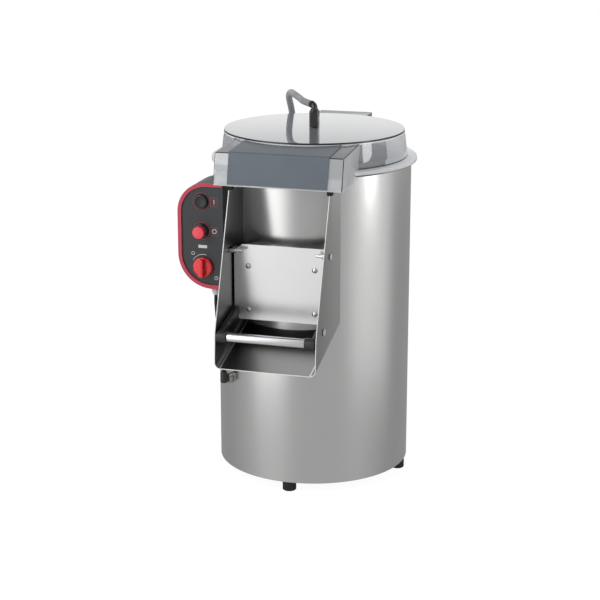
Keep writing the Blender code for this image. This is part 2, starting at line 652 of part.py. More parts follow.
# The chute is one sheet folded to a U. Its sides are trimmed to a slanting front edge.
def make_chute():
    slope = (CHUTE_ROOT_HEIGHT - CHUTE_LIP_HEIGHT) / (CHUTE_LIP_REACH - CHUTE_ROOT_REACH)
    back = -CHUTE_ROOT_REACH + CHUTE_BEND * 2
    front = -CHUTE_LIP_REACH
    drop = slope * (front - back)
    base = CHUTE_ROOT_HEIGHT + slope * (back + CHUTE_ROOT_REACH)
    tall = base + BODY_HEIGHT
    outline = []
    for offset, order in ((0, 1), (CHUTE_SHEET, -1)):
        half = CHUTE_HALF_WIDTH - offset
        bend = CHUTE_BEND - offset
        corner = base + CHUTE_BEND
        side = [(-half, tall), *arc((bend - half, corner), bend, pi, 3 * pi / 2, CORNER_STEPS)]
        side += [*arc((half - bend, corner), bend, -pi / 2, 0, CORNER_STEPS), (half, tall)]
        outline += side[::order]
    chute = add("discharge_chute", prism(outline, "Y", back, front, drop), SATIN_STEEL)
    beyond = CHUTE_HALF_WIDTH + OVERRUN
    combine(chute, "INTERSECT", tool("chute_profile", prism([
        (back, chute_top), (-CHUTE_TOP_REACH, chute_top), (-CHUTE_KNEE_REACH, CHUTE_KNEE_HEIGHT),
        (front, CHUTE_LIP_HEIGHT), (front, CHUTE_LIP_HEIGHT - OVERRUN), (back, CHUTE_LIP_HEIGHT - OVERRUN)],
        "X", -beyond, beyond)))
    cut(chute, drum_space)
    cut(chute, tool("pivot_holes", rod(PIVOT_RADIUS + GAP, -beyond, beyond, SMALL_STEPS, handle_axis, (1, 0, 0))),
        tool("hinge_pin_holes", rod(HINGE_PIN_RADIUS + GAP, -beyond, beyond, SMALL_STEPS, door_axis, (1, 0, 0))))
    inner = CHUTE_HALF_WIDTH - CHUTE_SHEET
    head = CHUTE_HALF_WIDTH + GAP
    for name, side in (("left", -1), ("right", 1)):
        for pin, radius, head_radius, end, axis in (
                ("door_hinge_pin_", HINGE_PIN_RADIUS, HINGE_PIN_HEAD_RADIUS, inner - HINGE_PIN_REACH, door_axis),
                ("handle_pivot_", PIVOT_RADIUS, PIVOT_HEAD_RADIUS, DOOR_NOTCH_HALF_WIDTH + ARM_GAP, handle_axis)):
            add(pin + name, lathe([
                (0, end), (radius, end), (radius, head), (head_radius, head),
                (head_radius, head + HEAD_HEIGHT - EDGE_ROUND), (head_radius - EDGE_ROUND, head + HEAD_HEIGHT),
                (0, head + HEAD_HEIGHT)], SMALL_STEPS, axis, (side, 0, 0)), SATIN_STEEL, axis)
        ends = sorted((side * (CHUTE_HALF_WIDTH + BUMPER_WIDTH / 3), side * (CHUTE_HALF_WIDTH - BUMPER_WIDTH * 2 / 3)))
        low = chute_top + GAP
        y, z = -CHUTE_TOP_REACH + BUMPER_CORNER / 2, low + BUMPER_HEIGHT
        add("hood_bumper_" + name, prism([
            (y, low), (y + BUMPER_DEPTH, low), (y + BUMPER_DEPTH, z - BUMPER_CORNER),
            (y + BUMPER_DEPTH - BUMPER_CORNER, z), (y + BUMPER_CORNER, z), (y, z - BUMPER_CORNER)],
            "X", *ends), RUBBER)


# Handle: two moulded arms on pivots in the chute's sides, and the grip between them. The arms'
# rear ends lie under the door's shoulders and hold it shut.
def make_handle():
    y, z = handle_axis[1], handle_axis[2]
    half = ARM_DEPTH / 2
    back = (cos(ARM_TILT), sin(ARM_TILT))
    end = (y + ARM_BACK * back[0], z + ARM_BACK * back[1])
    side = (-back[1] * half, back[0] * half)
    reach = (-cos(GRIP_TILT), -sin(GRIP_TILT))
    grip = (y + GRIP_ARM * reach[0], z + GRIP_ARM * reach[1])
    fore = (-reach[1] * half, reach[0] * half)
    bar = [(end[0] + side[0], end[1] + side[1]), (y + (side[0] - fore[0]) / 2, z + (side[1] - fore[1]) / 2),
           (grip[0] - fore[0], grip[1] - fore[1]), (grip[0] + fore[0], grip[1] + fore[1]),
           (y - (side[0] - fore[0]) / 2, z - (side[1] - fore[1]) / 2), (end[0] - side[0], end[1] - side[1])]
    at = (0, grip[0], grip[1])
    near = DOOR_NOTCH_HALF_WIDTH + ARM_GAP
    for name, hand in (("left", -1), ("right", 1)):
        ends = sorted((hand * near, hand * (near + ARM_WIDTH)))
        arm = add("handle_arm_" + name, prism(bar, "X", *ends), BLACK, handle_axis)
        fuse(arm, tool("arm_boss_" + name, lathe([
            (0, GRIP_HALF_LENGTH - PLUG_LENGTH), (GRIP_RADIUS - GRIP_WALL - GAP, GRIP_HALF_LENGTH - PLUG_LENGTH),
            (GRIP_RADIUS - GRIP_WALL - GAP, GRIP_HALF_LENGTH + GAP), (BOSS_RADIUS, GRIP_HALF_LENGTH + GAP),
            (BOSS_RADIUS, near + ARM_WIDTH - EDGE_ROUND), (BOSS_RADIUS - EDGE_ROUND, near + ARM_WIDTH - GAP),
            (0, near + ARM_WIDTH - GAP)], ROUND_STEPS, at, (hand, 0, 0))))
        cut(arm, tool("arm_bore_" + name, rod(PIVOT_RADIUS + GAP, 0, CHUTE_HALF_WIDTH, SMALL_STEPS,
                                              handle_axis, (hand, 0, 0))))
    add("grip_tube", lathe([
        (GRIP_RADIUS - GRIP_WALL, -GRIP_HALF_LENGTH), (GRIP_RADIUS, -GRIP_HALF_LENGTH),
        (GRIP_RADIUS, GRIP_HALF_LENGTH), (GRIP_RADIUS - GRIP_WALL, GRIP_HALF_LENGTH)],
        ROUND_STEPS, at, (1, 0, 0)), ALUMINIUM, handle_axis)


# A point offset outwards from the corner b of the path a-b-c.
def offset_corner(a, b, c, distance):
    first = Vector((b[0] - a[0], b[1] - a[1])).normalized()
    second = Vector((c[0] - b[0], c[1] - b[1])).normalized()
    outward = Vector((first[1] + second[1], -first[0] - second[0])).normalized()
    stretch = distance / outward.dot(Vector((first[1], -first[0])))
    return (b[0] + outward[0] * stretch, b[1] + outward[1] * stretch)


# Clear lid: a shallow turned cap with a box-shaped hood over the chute and a hinge box behind.
def make_lid():
    skirt_top = lid_bottom + LID_FLANGE + LID_SKIRT_HEIGHT
    flange_top = lid_bottom + LID_FLANGE
    lid = add("lid_cover", lathe([
        (0, lid_bottom), (LID_FLANGE_RADIUS, lid_bottom), (LID_FLANGE_RADIUS, flange_top),
        (LID_SKIRT_RADIUS, flange_top), (LID_SKIRT_RADIUS, skirt_top), (LID_DISC_RADIUS, lid_top - LID_WALL),
        (LID_DISC_RADIUS, lid_top), (0, lid_top)], FINE_STEPS), CLEAR, lid_axis)
    slant = LID_WALL / cos(atan2(LID_SKIRT_RADIUS - LID_DISC_RADIUS, LID_HEIGHT - LID_FLANGE - LID_SKIRT_HEIGHT))
    cavity = tool("lid_cavity", lathe([
        (0, hood_bottom - OVERRUN), (LID_SKIRT_RADIUS - slant, hood_bottom - OVERRUN),
        (LID_SKIRT_RADIUS - slant, skirt_top), (LID_DISC_RADIUS - slant, lid_top - LID_WALL),
        (0, lid_top - LID_WALL)], FINE_STEPS))

    top_back = (-LID_DISC_RADIUS * 2 / 3, lid_top - HOOD_STEP)
    top_front = (-HOOD_TOP_REACH, lid_top - HOOD_STEP - HOOD_TOP_FALL)
    foot = (-HOOD_FOOT_REACH, hood_bottom)
    hood = tool("hood_outside", prism([top_back, top_front, foot, (top_back[0], hood_bottom)],
                                      "X", -HOOD_HALF_WIDTH, HOOD_HALF_WIDTH))
    below = (foot[0] + (foot[0] - top_front[0]) * OVERRUN / (top_front[1] - foot[1]), hood_bottom - OVERRUN)
    ceiling = offset_corner((0, top_back[1]), top_back, top_front, -LID_WALL)
    brow = offset_corner(top_back, top_front, foot, -LID_WALL)
    shin = offset_corner(top_front, below, (2 * below[0] - top_front[0], 2 * below[1] - top_front[1]), -LID_WALL)
    inside = HOOD_HALF_WIDTH - LID_WALL
    hollow = tool("hood_cavity", prism([ceiling, brow, shin, (ceiling[0], shin[1])], "X", -inside, inside))

    box_high = lid_top - HINGE_BOX_TOP_DROP
    box_low = box_high - HINGE_BOX_DEPTH
    box = tool("hinge_box", block((-HINGE_BOX_HALF_WIDTH, LID_DISC_RADIUS * 2 / 3, box_low),
                                  (HINGE_BOX_HALF_WIDTH, hinge_box_reach, box_high)))
    cut(box, tool("hinge_box_cavity", block(
        (LID_WALL - HINGE_BOX_HALF_WIDTH, HINGE_BOX_ROOT, box_low - OVERRUN),
        (HINGE_BOX_HALF_WIDTH - LID_WALL, hinge_box_reach + OVERRUN, box_high - LID_WALL))))
    cut(hood, drum_space)
    fuse(lid, hood, box)
    cut(lid, cavity, hollow)
    cut(lid, tool("lid_pin_bore", rod(LID_PIN_RADIUS + GAP, -HINGE_BOX_HALF_WIDTH - OVERRUN,
                                      HINGE_BOX_HALF_WIDTH + OVERRUN, SMALL_STEPS, lid_axis, (1, 0, 0))),
        tool("nozzle_bore", rod(NOZZLE_STEM_RADIUS + GAP, lid_top - LID_WALL - OVERRUN, lid_top + OVERRUN,
                                SMALL_STEPS)))

    lift = PANEL_LIFT / (top_front[1] - foot[1])
    hem = (foot[0] + (top_front[0] - foot[0]) * lift, foot[1] + PANEL_LIFT)
    past = (2 * hem[0] - top_front[0], 2 * hem[1] - top_front[1])
    inner, outer = [[offset_corner((0, top_back[1]), top_back, top_front, out),
                     offset_corner(top_back, top_front, hem, out), offset_corner(top_front, hem, past, out)]
                    for out in (GAP, GAP + PANEL_SHEET)]
    panel = add("hood_panel", prism(inner + outer[::-1], "X", -PANEL_HALF_WIDTH, PANEL_HALF_WIDTH), SLATE, lid_axis)
    cut(panel, tool("disc_space", rod(LID_DISC_RADIUS + PANEL_CLEARANCE, hood_bottom, lid_top + OVERRUN, FINE_STEPS)))

    lip = BODY_RADIUS - LID_SEAL_WIDTH
    add("lid_seal", lathe([(lip, body_top + GAP), (BODY_RADIUS, body_top + GAP), (BODY_RADIUS, seal_top),
                           (lip, seal_top)], FINE_STEPS), RUBBER)

    y, z = lid_axis[1], lid_axis[2]
    low = body_top - BRACKET_HEIGHT - BRACKET_TOP_DROP
    high = body_top - BRACKET_TOP_DROP
    stand = LID_FLANGE_RADIUS + BRACKET_CLEARANCE
    outside = stand + BRACKET_THICKNESS / 2
    eye = arc((y, z), BRACKET_EYE_RADIUS, -pi / 6, pi * 5 / 6, CORNER_STEPS)
    bracket = add("lid_hinge_bracket", prism([
        (BODY_RADIUS / 2, low), (outside - BRACKET_THICKNESS / 2, low), (outside, low + BRACKET_THICKNESS),
        (outside, high - BRACKET_THICKNESS), *eye, (stand, high + BRACKET_THICKNESS * 2 / 3), (stand, high),
        (BODY_RADIUS / 2, high)], "X", -BRACKET_HALF_WIDTH, BRACKET_HALF_WIDTH), SATIN_STEEL)
    cut(bracket, drum_space, tool("bracket_bore", rod(LID_PIN_RADIUS + GAP, -BRACKET_HALF_WIDTH - OVERRUN,
                                                      BRACKET_HALF_WIDTH + OVERRUN, SMALL_STEPS, lid_axis, (1, 0, 0))))
    inner_face = HINGE_BOX_HALF_WIDTH + GAP
    end = inner_face + LID_PIN_HEAD
    add("lid_hinge_pin", lathe([
        (0, -end), (LID_PIN_HEAD_RADIUS, -end), (LID_PIN_HEAD_RADIUS, -inner_face), (LID_PIN_RADIUS, -inner_face),
        (LID_PIN_RADIUS, inner_face), (LID_PIN_HEAD_RADIUS, inner_face), (LID_PIN_HEAD_RADIUS, end), (0, end)],
        SMALL_STEPS, lid_axis, (1, 0, 0)), SATIN_STEEL, lid_axis)


# Points read from a smooth curve through a route's own points.
def smooth_route(route):
    points = [Vector(p) for p in route]
    ends = [2 * points[0] - points[1], *points, 2 * points[-1] - points[-2]]
    path = []
    for a, b, c, d in zip(ends, ends[1:], ends[2:], ends[3:]):
        for i in range(ROUTE_STEPS):
            t = i / ROUTE_STEPS
            path.append(((2 * b) + (c - a) * t + (2 * a - 5 * b + 4 * c - d) * t ** 2
                         + (3 * b - a - 3 * c + d) * t ** 3) / 2)
    return [*path, points[-1]]


# A held hose or lead: a tube on a curve, with closed ends.
def tube(name, route, radius, finish):
    path = smooth_route(route)
    curve = bpy.data.curves.new(name, "CURVE")
    curve.dimensions = "3D"
    curve.bevel_depth = radius
    curve.bevel_resolution = 2
    curve.use_fill_caps = True
    spline = curve.splines.new("POLY")
    spline.points.add(len(path) - 1)
    for point, place in zip(spline.points, path):
        point.co = (*place, 1)
    piece = bpy.data.objects.new(name, curve)
    piece.parent = machine
    piece.data.materials.append(finish)
    bpy.context.collection.objects.link(piece)
    print(name, "length", round(sum((b - a).length for a, b in zip(path, path[1:])), 4))


# The fitting's elbow: straight up from "foot", round a bend and out along the direction "d".
def elbow_tube(foot, d):
    side = Vector((0, 0, 1)).cross(d).normalized()
    level = side.cross(Vector((0, 0, 1)))
    turn = Vector((0, 0, 1)).angle(d)
    centre = Vector(elbow) - Vector((0, 0, ELBOW_BEND * tan(turn / 2))) + level * ELBOW_BEND
    stations = [(foot, 0)]
    for i in range(BEND_STEPS + 1):
        angle = turn * i / BEND_STEPS
        stations.append((centre + ELBOW_BEND * (Vector((0, 0, sin(angle))) - level * cos(angle)), angle))
    stations.append((Vector(elbow) + d * ELBOW_LENGTH, turn))
    shape = bmesh.new()
    rings = []
    for place, angle in stations:
        across = level * cos(angle) - Vector((0, 0, sin(angle)))
        rings.append([shape.verts.new(place + ELBOW_RADIUS * (side * x + across * y))
                      for x, y in arc((0, 0), 1, 0, 2 * pi, ROUND_STEPS)[:-1]])
    for first, second in zip(rings, rings[1:]):
        for j in range(ROUND_STEPS):
            shape.faces.new((first[j - 1], first[j], second[j], second[j - 1]))
    shape.faces.new(rings[0])
    shape.faces.new(rings[-1])
    return tidy(shape)


# Water comes in through a valve behind the drum and a hose to the middle of the lid.
def make_water():
    low = lid_top + GAP
    high = low + FITTING_HEIGHT
    half, chamfer = FITTING_HALF_WIDTH, FITTING_CHAMFER
    square = [(half - chamfer, -half), (half, chamfer - half), (half, half - chamfer), (half - chamfer, half),
              (chamfer - half, half), (-half, half - chamfer), (-half, chamfer - half), (chamfer - half, -half)]
    fitting = add("water_fitting", prism(square, "Z", low, high), BLACK, lid_axis)
    d = Vector(ELBOW_DIRECTION).normalized()
    fuse(fitting, tool("fitting_elbow", elbow_tube(Vector((0, 0, high - OVERRUN)), d)))
    neck = lid_top - LID_WALL - GAP
    add("spray_nozzle", lathe([
        (0, neck - NOZZLE_LENGTH), (NOZZLE_RADIUS, neck - NOZZLE_LENGTH), (NOZZLE_COLLAR_RADIUS, neck - NOZZLE_COLLAR),
        (NOZZLE_COLLAR_RADIUS, neck), (NOZZLE_STEM_RADIUS, neck), (NOZZLE_STEM_RADIUS, lid_top), (0, lid_top)],
        SMALL_STEPS), BLACK, lid_axis)

    outward = (-sin(VALVE_ANGLE), cos(VALVE_ANGLE))
    top = body_top - VALVE_TOP_DROP
    seat = (outward[0] * VALVE_REACH, outward[1] * VALVE_REACH, top)
    valve_block = block((-VALVE_HALF_WIDTH, BODY_RADIUS / 2, top - VALVE_HEIGHT),
                        (VALVE_HALF_WIDTH, VALVE_OUTER_REACH, top))
    bmesh.ops.rotate(valve_block, verts=valve_block.verts, cent=(0, 0, 0), matrix=Matrix.Rotation(VALVE_ANGLE, 3, "Z"))
    valve = add("water_valve", valve_block, BLACK)
    cut(valve, drum_space)
    fuse(valve, tool("valve_barb", rod(BARB_RADIUS, -OVERRUN, BARB_LENGTH, ROUND_STEPS, seat)),
         tool("valve_thread", rod(THREAD_RADIUS, -VALVE_HEIGHT - THREAD_LENGTH, -VALVE_HEIGHT + OVERRUN,
                                  ROUND_STEPS, seat)))
    start = Vector(elbow) + d * (ELBOW_LENGTH + 2 * GAP)
    end = Vector(seat) + Vector((0, 0, BARB_LENGTH + 2 * GAP))
    route = [(x * VALVE_REACH, y * VALVE_REACH, lid_top + rise * LID_HEIGHT) for x, y, rise in HOSE_ROUTE]
    tube("water_hose", [start, start + d * HOSE_RADIUS, *route, end + Vector((0, 0, HOSE_RADIUS)), end],
         HOSE_RADIUS, HOSE_GREY)


# The control box's outline, with its round corners on the left, drawn "inset" inside its edge.
def box_outline(inset, right):
    upper = arc((box_left + BOX_TOP_RADIUS, box_top - BOX_TOP_RADIUS), BOX_TOP_RADIUS - inset,
                pi / 2, pi, CORNER_STEPS)
    lower = arc((box_left + BOX_BOTTOM_RADIUS, box_bottom + BOX_BOTTOM_RADIUS), BOX_BOTTOM_RADIUS - inset,
                pi, 3 * pi / 2, CORNER_STEPS)
    return [(right, box_top - inset), *upper, *lower, (right, box_bottom + inset)]


def make_controls():
    front = -BOX_FRONT_REACH
    housing = add("control_box", prism(box_outline(0, box_right), "Y", front, front + BOX_DEPTH), GREY_PLASTIC)
    cut(housing, tool("box_pocket", prism(box_outline(BOX_WALL, box_right - BOX_WALL), "Y", front - OVERRUN,
                                          front + POCKET_DEPTH)), drum_space)
    face_back = front - GAP
    face_front = face_back - FACE_SHEET
    face = add("panel_face", prism(box_outline(0, box_right), "Y", face_front, face_back), CHARCOAL)
    trim_back = face_front - GAP
    add("panel_trim", prism(box_outline(0, box_right) + box_outline(TRIM_WIDTH, box_right)[::-1],
                            "Y", trim_back - TRIM_SHEET, trim_back), TRIM_RED)

    column = box_right - BUTTON_INSET
    stem = [(0, -BUTTON_DEPTH), (BUTTON_RADIUS, -BUTTON_DEPTH)]
    start = stem + [(BUTTON_RADIUS, BEZEL_HEIGHT - EDGE_ROUND), (BUTTON_RADIUS - EDGE_ROUND, BEZEL_HEIGHT),
                    (0, BEZEL_HEIGHT)]
    stop = stem + [(BUTTON_RADIUS, STOP_CAP_START), (STOP_CAP_RADIUS, STOP_CAP_START),
                   (STOP_CAP_RADIUS, STOP_HEIGHT - EDGE_ROUND), (STOP_CAP_RADIUS - EDGE_ROUND, STOP_HEIGHT),
                   (0, STOP_HEIGHT)]
    for name, height, outline, finish in (("start", box_top - START_DROP, start, BLACK),
                                          ("stop", box_bottom + STOP_SHARE * BOX_HEIGHT, stop, RED)):
        at = (column, face_front, height)
        add(name + "_bezel", lathe([
            (BARREL_BORE, -BARREL_DEPTH), (BARREL_RADIUS, -BARREL_DEPTH), (BARREL_RADIUS, GAP), (BEZEL_RADIUS, GAP),
            (BEZEL_RADIUS, BEZEL_HEIGHT - EDGE_ROUND), (BEZEL_RADIUS - EDGE_ROUND, BEZEL_HEIGHT),
            (BARREL_BORE, BEZEL_HEIGHT)], ROUND_STEPS, at, (0, -1, 0)), BLACK)
        add(name + "_button", lathe(outline, ROUND_STEPS, at, (0, -1, 0)), finish, at)
        cut(face, tool(name + "_hole", rod(BARREL_RADIUS + GAP, -BARREL_DEPTH, BARREL_DEPTH, ROUND_STEPS,
                                           at, (0, -1, 0))))

    at = (box_right - KNOB_INSET, face_front, box_bottom + KNOB_RISE)
    knob = add("timer_knob", lathe([
        (0, -KNOB_SHAFT), (KNOB_SHAFT_RADIUS, -KNOB_SHAFT), (KNOB_SHAFT_RADIUS, 2 * GAP), (KNOB_RADIUS, 2 * GAP),
        (KNOB_RADIUS, KNOB_SKIRT - EDGE_ROUND), (KNOB_RADIUS - 2 * EDGE_ROUND, KNOB_SKIRT), (0, KNOB_SKIRT)],
        ROUND_STEPS, at, (0, -1, 0)), RED, at)
    reach = KNOB_RADIUS - 2 * EDGE_ROUND
    half = KNOB_BAR_WIDTH / 2
    fuse(knob, tool("knob_bar", block((at[0] - half, face_front - KNOB_HEIGHT, at[2] - reach + half),
                                      (at[0] + half, face_front - KNOB_SKIRT / 2, at[2] + reach - half))))
    cut(face, tool("knob_hole", rod(KNOB_SHAFT_RADIUS + GAP, -KNOB_SHAFT, KNOB_SHAFT, SMALL_STEPS, at, (0, -1, 0))))


# The motor's lead, held between a gland under the control box and an elbow gland on the drum.
def make_lead():
    at = (box_right - BOX_GLAND_INSET, -BOX_GLAND_REACH, box_bottom)
    add("box_gland", lathe([
        (0, -GLAND_THREAD), (GLAND_THREAD_RADIUS, -GLAND_THREAD), (GLAND_THREAD_RADIUS, GAP), (GLAND_RADIUS, GAP),
        (GLAND_RADIUS, GLAND_NUT), (GLAND_NECK_RADIUS, GLAND_LENGTH), (0, GLAND_LENGTH)],
        SMALL_STEPS, at, (0, 0, -1)), GREY_PLASTIC)
    cut(bpy.data.objects["control_box"], tool("gland_box_hole", rod(
        GLAND_THREAD_RADIUS + GAP, -BOX_WALL - OVERRUN, OVERRUN, SMALL_STEPS, at, (0, 0, -1))))
    seat = (0, 0, BODY_GLAND_HEIGHT)
    gland = add("body_gland", lathe([
        (0, BODY_RADIUS - GLAND_THREAD), (GLAND_THREAD_RADIUS, BODY_RADIUS - GLAND_THREAD),
        (GLAND_THREAD_RADIUS, BODY_RADIUS + GAP), (BODY_GLAND_RADIUS, BODY_RADIUS + GAP),
        (BODY_GLAND_RADIUS, BODY_RADIUS + BODY_GLAND_NUT), (ELBOW_BODY_RADIUS, BODY_RADIUS + BODY_GLAND_NUT),
        (ELBOW_BODY_RADIUS, BODY_RADIUS + BODY_GLAND_REACH), (0, BODY_RADIUS + BODY_GLAND_REACH)],
        SMALL_STEPS, seat, gland_direction), BLACK)
    reach = BODY_RADIUS + BODY_GLAND_REACH
    mouth = (gland_direction[0] * reach, gland_direction[1] * reach, BODY_GLAND_HEIGHT)
    fuse(gland, tool("gland_elbow", rod(ELBOW_BODY_RADIUS, -ELBOW_BODY_RADIUS, ELBOW_BODY_RISE, SMALL_STEPS, mouth)))
    low = Vector(mouth) + Vector((0, 0, ELBOW_BODY_RISE + 2 * GAP))
    high = Vector(at) - Vector((0, 0, GLAND_LENGTH + 2 * GAP))
    run = high - low
    side = Vector((run.x, run.y, 0))
    # The lead leaves both glands upright and leans over between them.
    upright = Vector((0, 0, run.z))
    tube("motor_lead", [
        low, low + upright / 8, low + upright * 3 / 8 + side / 4, low + upright * 5 / 8 + side * 3 / 4,
        low + upright * 7 / 8 + side, high], LEAD_RADIUS, BLACK)


# Places that several pieces share
drain_height = FLOOR_HEIGHT - GAP - DRAIN_DROP - DRAIN_BEND
gland_direction = (-sin(BODY_GLAND_ANGLE), -cos(BODY_GLAND_ANGLE), 0)
door_front = OUTLET_REACH + DOOR_SEAL + DOOR_SHEET + 2 * GAP
door_axis = (0, -door_front - HINGE_STANDOFF, outlet_top + HINGE_RISE)
handle_axis = (0, -PIVOT_REACH, PIVOT_HEIGHT)
shoulder = PIVOT_HEIGHT + ARM_BACK * sin(ARM_TILT) + ARM_DEPTH / 2 * cos(ARM_TILT) + GAP
lid_axis = (0, LID_FLANGE_RADIUS + LID_AXIS_STANDOFF, lid_axis_height)
elbow = (0, 0, lid_top + GAP + FITTING_HEIGHT + ELBOW_RISE)

make_drum()
make_drive()
make_drain()
make_outlet()
make_chute()
make_handle()
make_lid()
make_water()
make_controls()
make_lead()
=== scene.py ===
import json
from math import sin, cos, atan2, pi, radians
import bpy
import bmesh
from mathutils import Vector, Matrix

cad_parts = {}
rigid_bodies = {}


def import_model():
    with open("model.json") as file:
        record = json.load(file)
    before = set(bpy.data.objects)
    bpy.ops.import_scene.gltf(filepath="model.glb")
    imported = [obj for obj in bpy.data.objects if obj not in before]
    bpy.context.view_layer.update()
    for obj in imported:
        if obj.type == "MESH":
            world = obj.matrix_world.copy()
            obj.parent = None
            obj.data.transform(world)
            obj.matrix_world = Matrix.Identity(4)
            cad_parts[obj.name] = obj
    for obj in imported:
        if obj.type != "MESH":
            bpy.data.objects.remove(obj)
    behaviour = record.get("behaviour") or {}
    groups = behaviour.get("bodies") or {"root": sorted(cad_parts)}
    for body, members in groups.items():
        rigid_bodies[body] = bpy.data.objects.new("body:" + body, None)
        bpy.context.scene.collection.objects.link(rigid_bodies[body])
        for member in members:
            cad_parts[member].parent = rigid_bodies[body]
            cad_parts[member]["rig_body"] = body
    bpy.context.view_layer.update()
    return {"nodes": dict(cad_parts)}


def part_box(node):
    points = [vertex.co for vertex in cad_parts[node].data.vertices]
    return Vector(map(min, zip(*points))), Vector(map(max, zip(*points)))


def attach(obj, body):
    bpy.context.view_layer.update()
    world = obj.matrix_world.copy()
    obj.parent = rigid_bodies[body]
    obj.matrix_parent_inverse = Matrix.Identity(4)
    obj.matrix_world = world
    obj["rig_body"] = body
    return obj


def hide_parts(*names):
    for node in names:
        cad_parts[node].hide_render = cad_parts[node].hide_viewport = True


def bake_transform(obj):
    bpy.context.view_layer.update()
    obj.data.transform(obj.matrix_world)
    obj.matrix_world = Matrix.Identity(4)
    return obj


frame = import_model()

# The machine is drawn about the drum's axis and moved to its place at the end of each piece.
drumLow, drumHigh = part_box("body_shell")
drumAxis = Vector(((drumLow.x + drumHigh.x) / 2, (drumLow.y + drumHigh.y) / 2, 0))
drumRadius = (drumHigh.x - drumLow.x) / 2
gap = 0.0003  # running and fitting gap between neighbours
overrun = 0.004  # how far a cutter reaches past what it cuts
sharpAngle = radians(35)
acrossWay, frontWay, backWay = (1, 0, 0), (0, -1, 0), (0, 1, 0)
up = Vector((0, 0, 1))
wideSteps = 160  # steps round the widest turned pieces


def boxOf(node):
    low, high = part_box(node)
    return low - drumAxis, high - drumAxis


def middleOf(node):
    low, high = boxOf(node)
    return (low + high) / 2


# The axis of a pin or tube that lies across the machine
def crossAxis(node):
    middle = middleOf(node)
    return Vector((0, middle.y, middle.z))


# Colour, node and material helpers

def linear(code):
    channels = [int(code[i:i + 2], 16) / 255 for i in (1, 3, 5)]
    return [c / 12.92 if c <= 0.04045 else ((c + 0.055) / 1.055) ** 2.4 for c in channels] + [1]


def addNode(tree, kind, inputs=None, **settings):
    made = tree.nodes.new(kind)
    for key, value in settings.items():
        setattr(made, key, value)
    for key, value in (inputs or {}).items():
        if isinstance(value, bpy.types.NodeSocket):
            tree.links.new(value, made.inputs[key])
        else:
            made.inputs[key].default_value = value
    return made


def mathNode(tree, operation, *values):
    return addNode(tree, "ShaderNodeMath", dict(enumerate(values)), operation=operation).outputs[0]


# Carries a value from one range to another, along a soft curve unless told otherwise.
def rampNode(tree, value, start, end, low, high, curve="SMOOTHSTEP"):
    return addNode(tree, "ShaderNodeMapRange", {"Value": value, "From Min": start, "From Max": end, "To Min": low,
                                                "To Max": high}, interpolation_type=curve).outputs[0]


def tintNode(tree, factor, dark, light):
    return addNode(tree, "ShaderNodeMix", {"Factor": factor, 6: linear(dark), 7: linear(light)},
                   data_type="RGBA").outputs[2]


# Mixes two shaders into the material's output.
def mixOut(tree, factor, first, second):
    mix = addNode(tree, "ShaderNodeMixShader", {"Fac": factor, 1: first.outputs[0], 2: second.outputs[0]})
    tree.links.new(mix.outputs[0], tree.nodes["Material Output"].inputs["Surface"])


# One for rays from the camera, straight or through the clear lid, and nought for the rest
def seenRay(tree):
    path = addNode(tree, "ShaderNodeLightPath").outputs
    return mathNode(tree, "MAXIMUM", path["Is Camera Ray"], path["Is Transmission Ray"])


def newMaterial(name, **sockets):
    made = bpy.data.materials.new(name)
    made.use_nodes = True
    shader = made.node_tree.nodes["Principled BSDF"]
    for key, value in sockets.items():
        key = {"color": "Base Color", "ior": "IOR", "coat_ior": "Coat IOR"}.get(key, key.replace("_", " ").title())
        shader.inputs[key].default_value = linear(value) if isinstance(value, str) else value
    return made, made.node_tree, shader


# Fine relief and uneven gloss from one noise: "size" is its real size in metres, one for all axes or one for each.
def addGrain(tree, shader, size, relief, rough, detail=2.0):
    sizes = size if isinstance(size, tuple) else (size, size, size)
    place = addNode(tree, "ShaderNodeTexCoord")
    centred = addNode(tree, "ShaderNodeMapping", {"Vector": place.outputs["Object"], "Location": -drumAxis},
                      vector_type="POINT").outputs[0]
    spread = addNode(tree, "ShaderNodeVectorMath", {0: centred, 1: [1 / s for s in sizes]}, operation="MULTIPLY")
    noise = addNode(tree, "ShaderNodeTexNoise", {"Vector": spread.outputs[0], "Scale": 1.0, "Detail": detail,
                                                 "Roughness": 0.55}, noise_dimensions="4D").outputs[0]
    tree.links.new(rampNode(tree, noise, 0.3, 0.7, *rough, "LINEAR"), shader.inputs["Roughness"])
    if relief:
        bump = addNode(tree, "ShaderNodeBump", {"Height": noise, "Strength": 1.0, "Distance": relief})
        tree.links.new(bump.outputs[0], shader.inputs["Normal"])
    return centred


def addTint(tree, shader, centred, dark, light, size):
    cloud = addNode(tree, "ShaderNodeTexNoise", {"Vector": centred, "Scale": 1 / size, "Detail": 3.0})
    tree.links.new(tintNode(tree, cloud.outputs[0], dark, light), shader.inputs["Base Color"])


# A finish with its grain, and with a cloudy tint (dark, light, size) where one is given
def finished(name, color, size, relief, rough, tint=None, detail=2.0, **sockets):
    made, tree, shader = newMaterial(name, color=color, **sockets)
    centred = addGrain(tree, shader, size, relief, rough, detail)
    if tint:
        addTint(tree, shader, centred, *tint)
    return made


# Stainless steel sheet, belt-ground and brushed round the drum: a satin sheen with soft upright bands.
# The real lines lie about 0.2 mm apart, drawn at 1.2 mm so that they show.
def makeSatinSteel(name, dark, light, rough, relief=0.0, anisotropy=0.0):
    made, tree, shader = newMaterial(name, metallic=1.0, roughness=rough[0], anisotropic=anisotropy)
    addTint(tree, shader, addGrain(tree, shader, (0.160, 0.160, 0.0012), relief, rough), dark, light, 0.090)
    around = addNode(tree, "ShaderNodeTangent", direction_type="RADIAL", axis="Z")
    tree.links.new(around.outputs[0], shader.inputs["Tangent"])
    return made


satinSteel = makeSatinSteel("stainless_steel_satin", "#CDCDCD", "#D3D2D1", (0.25, 0.27), 0.0000004, 0.35)
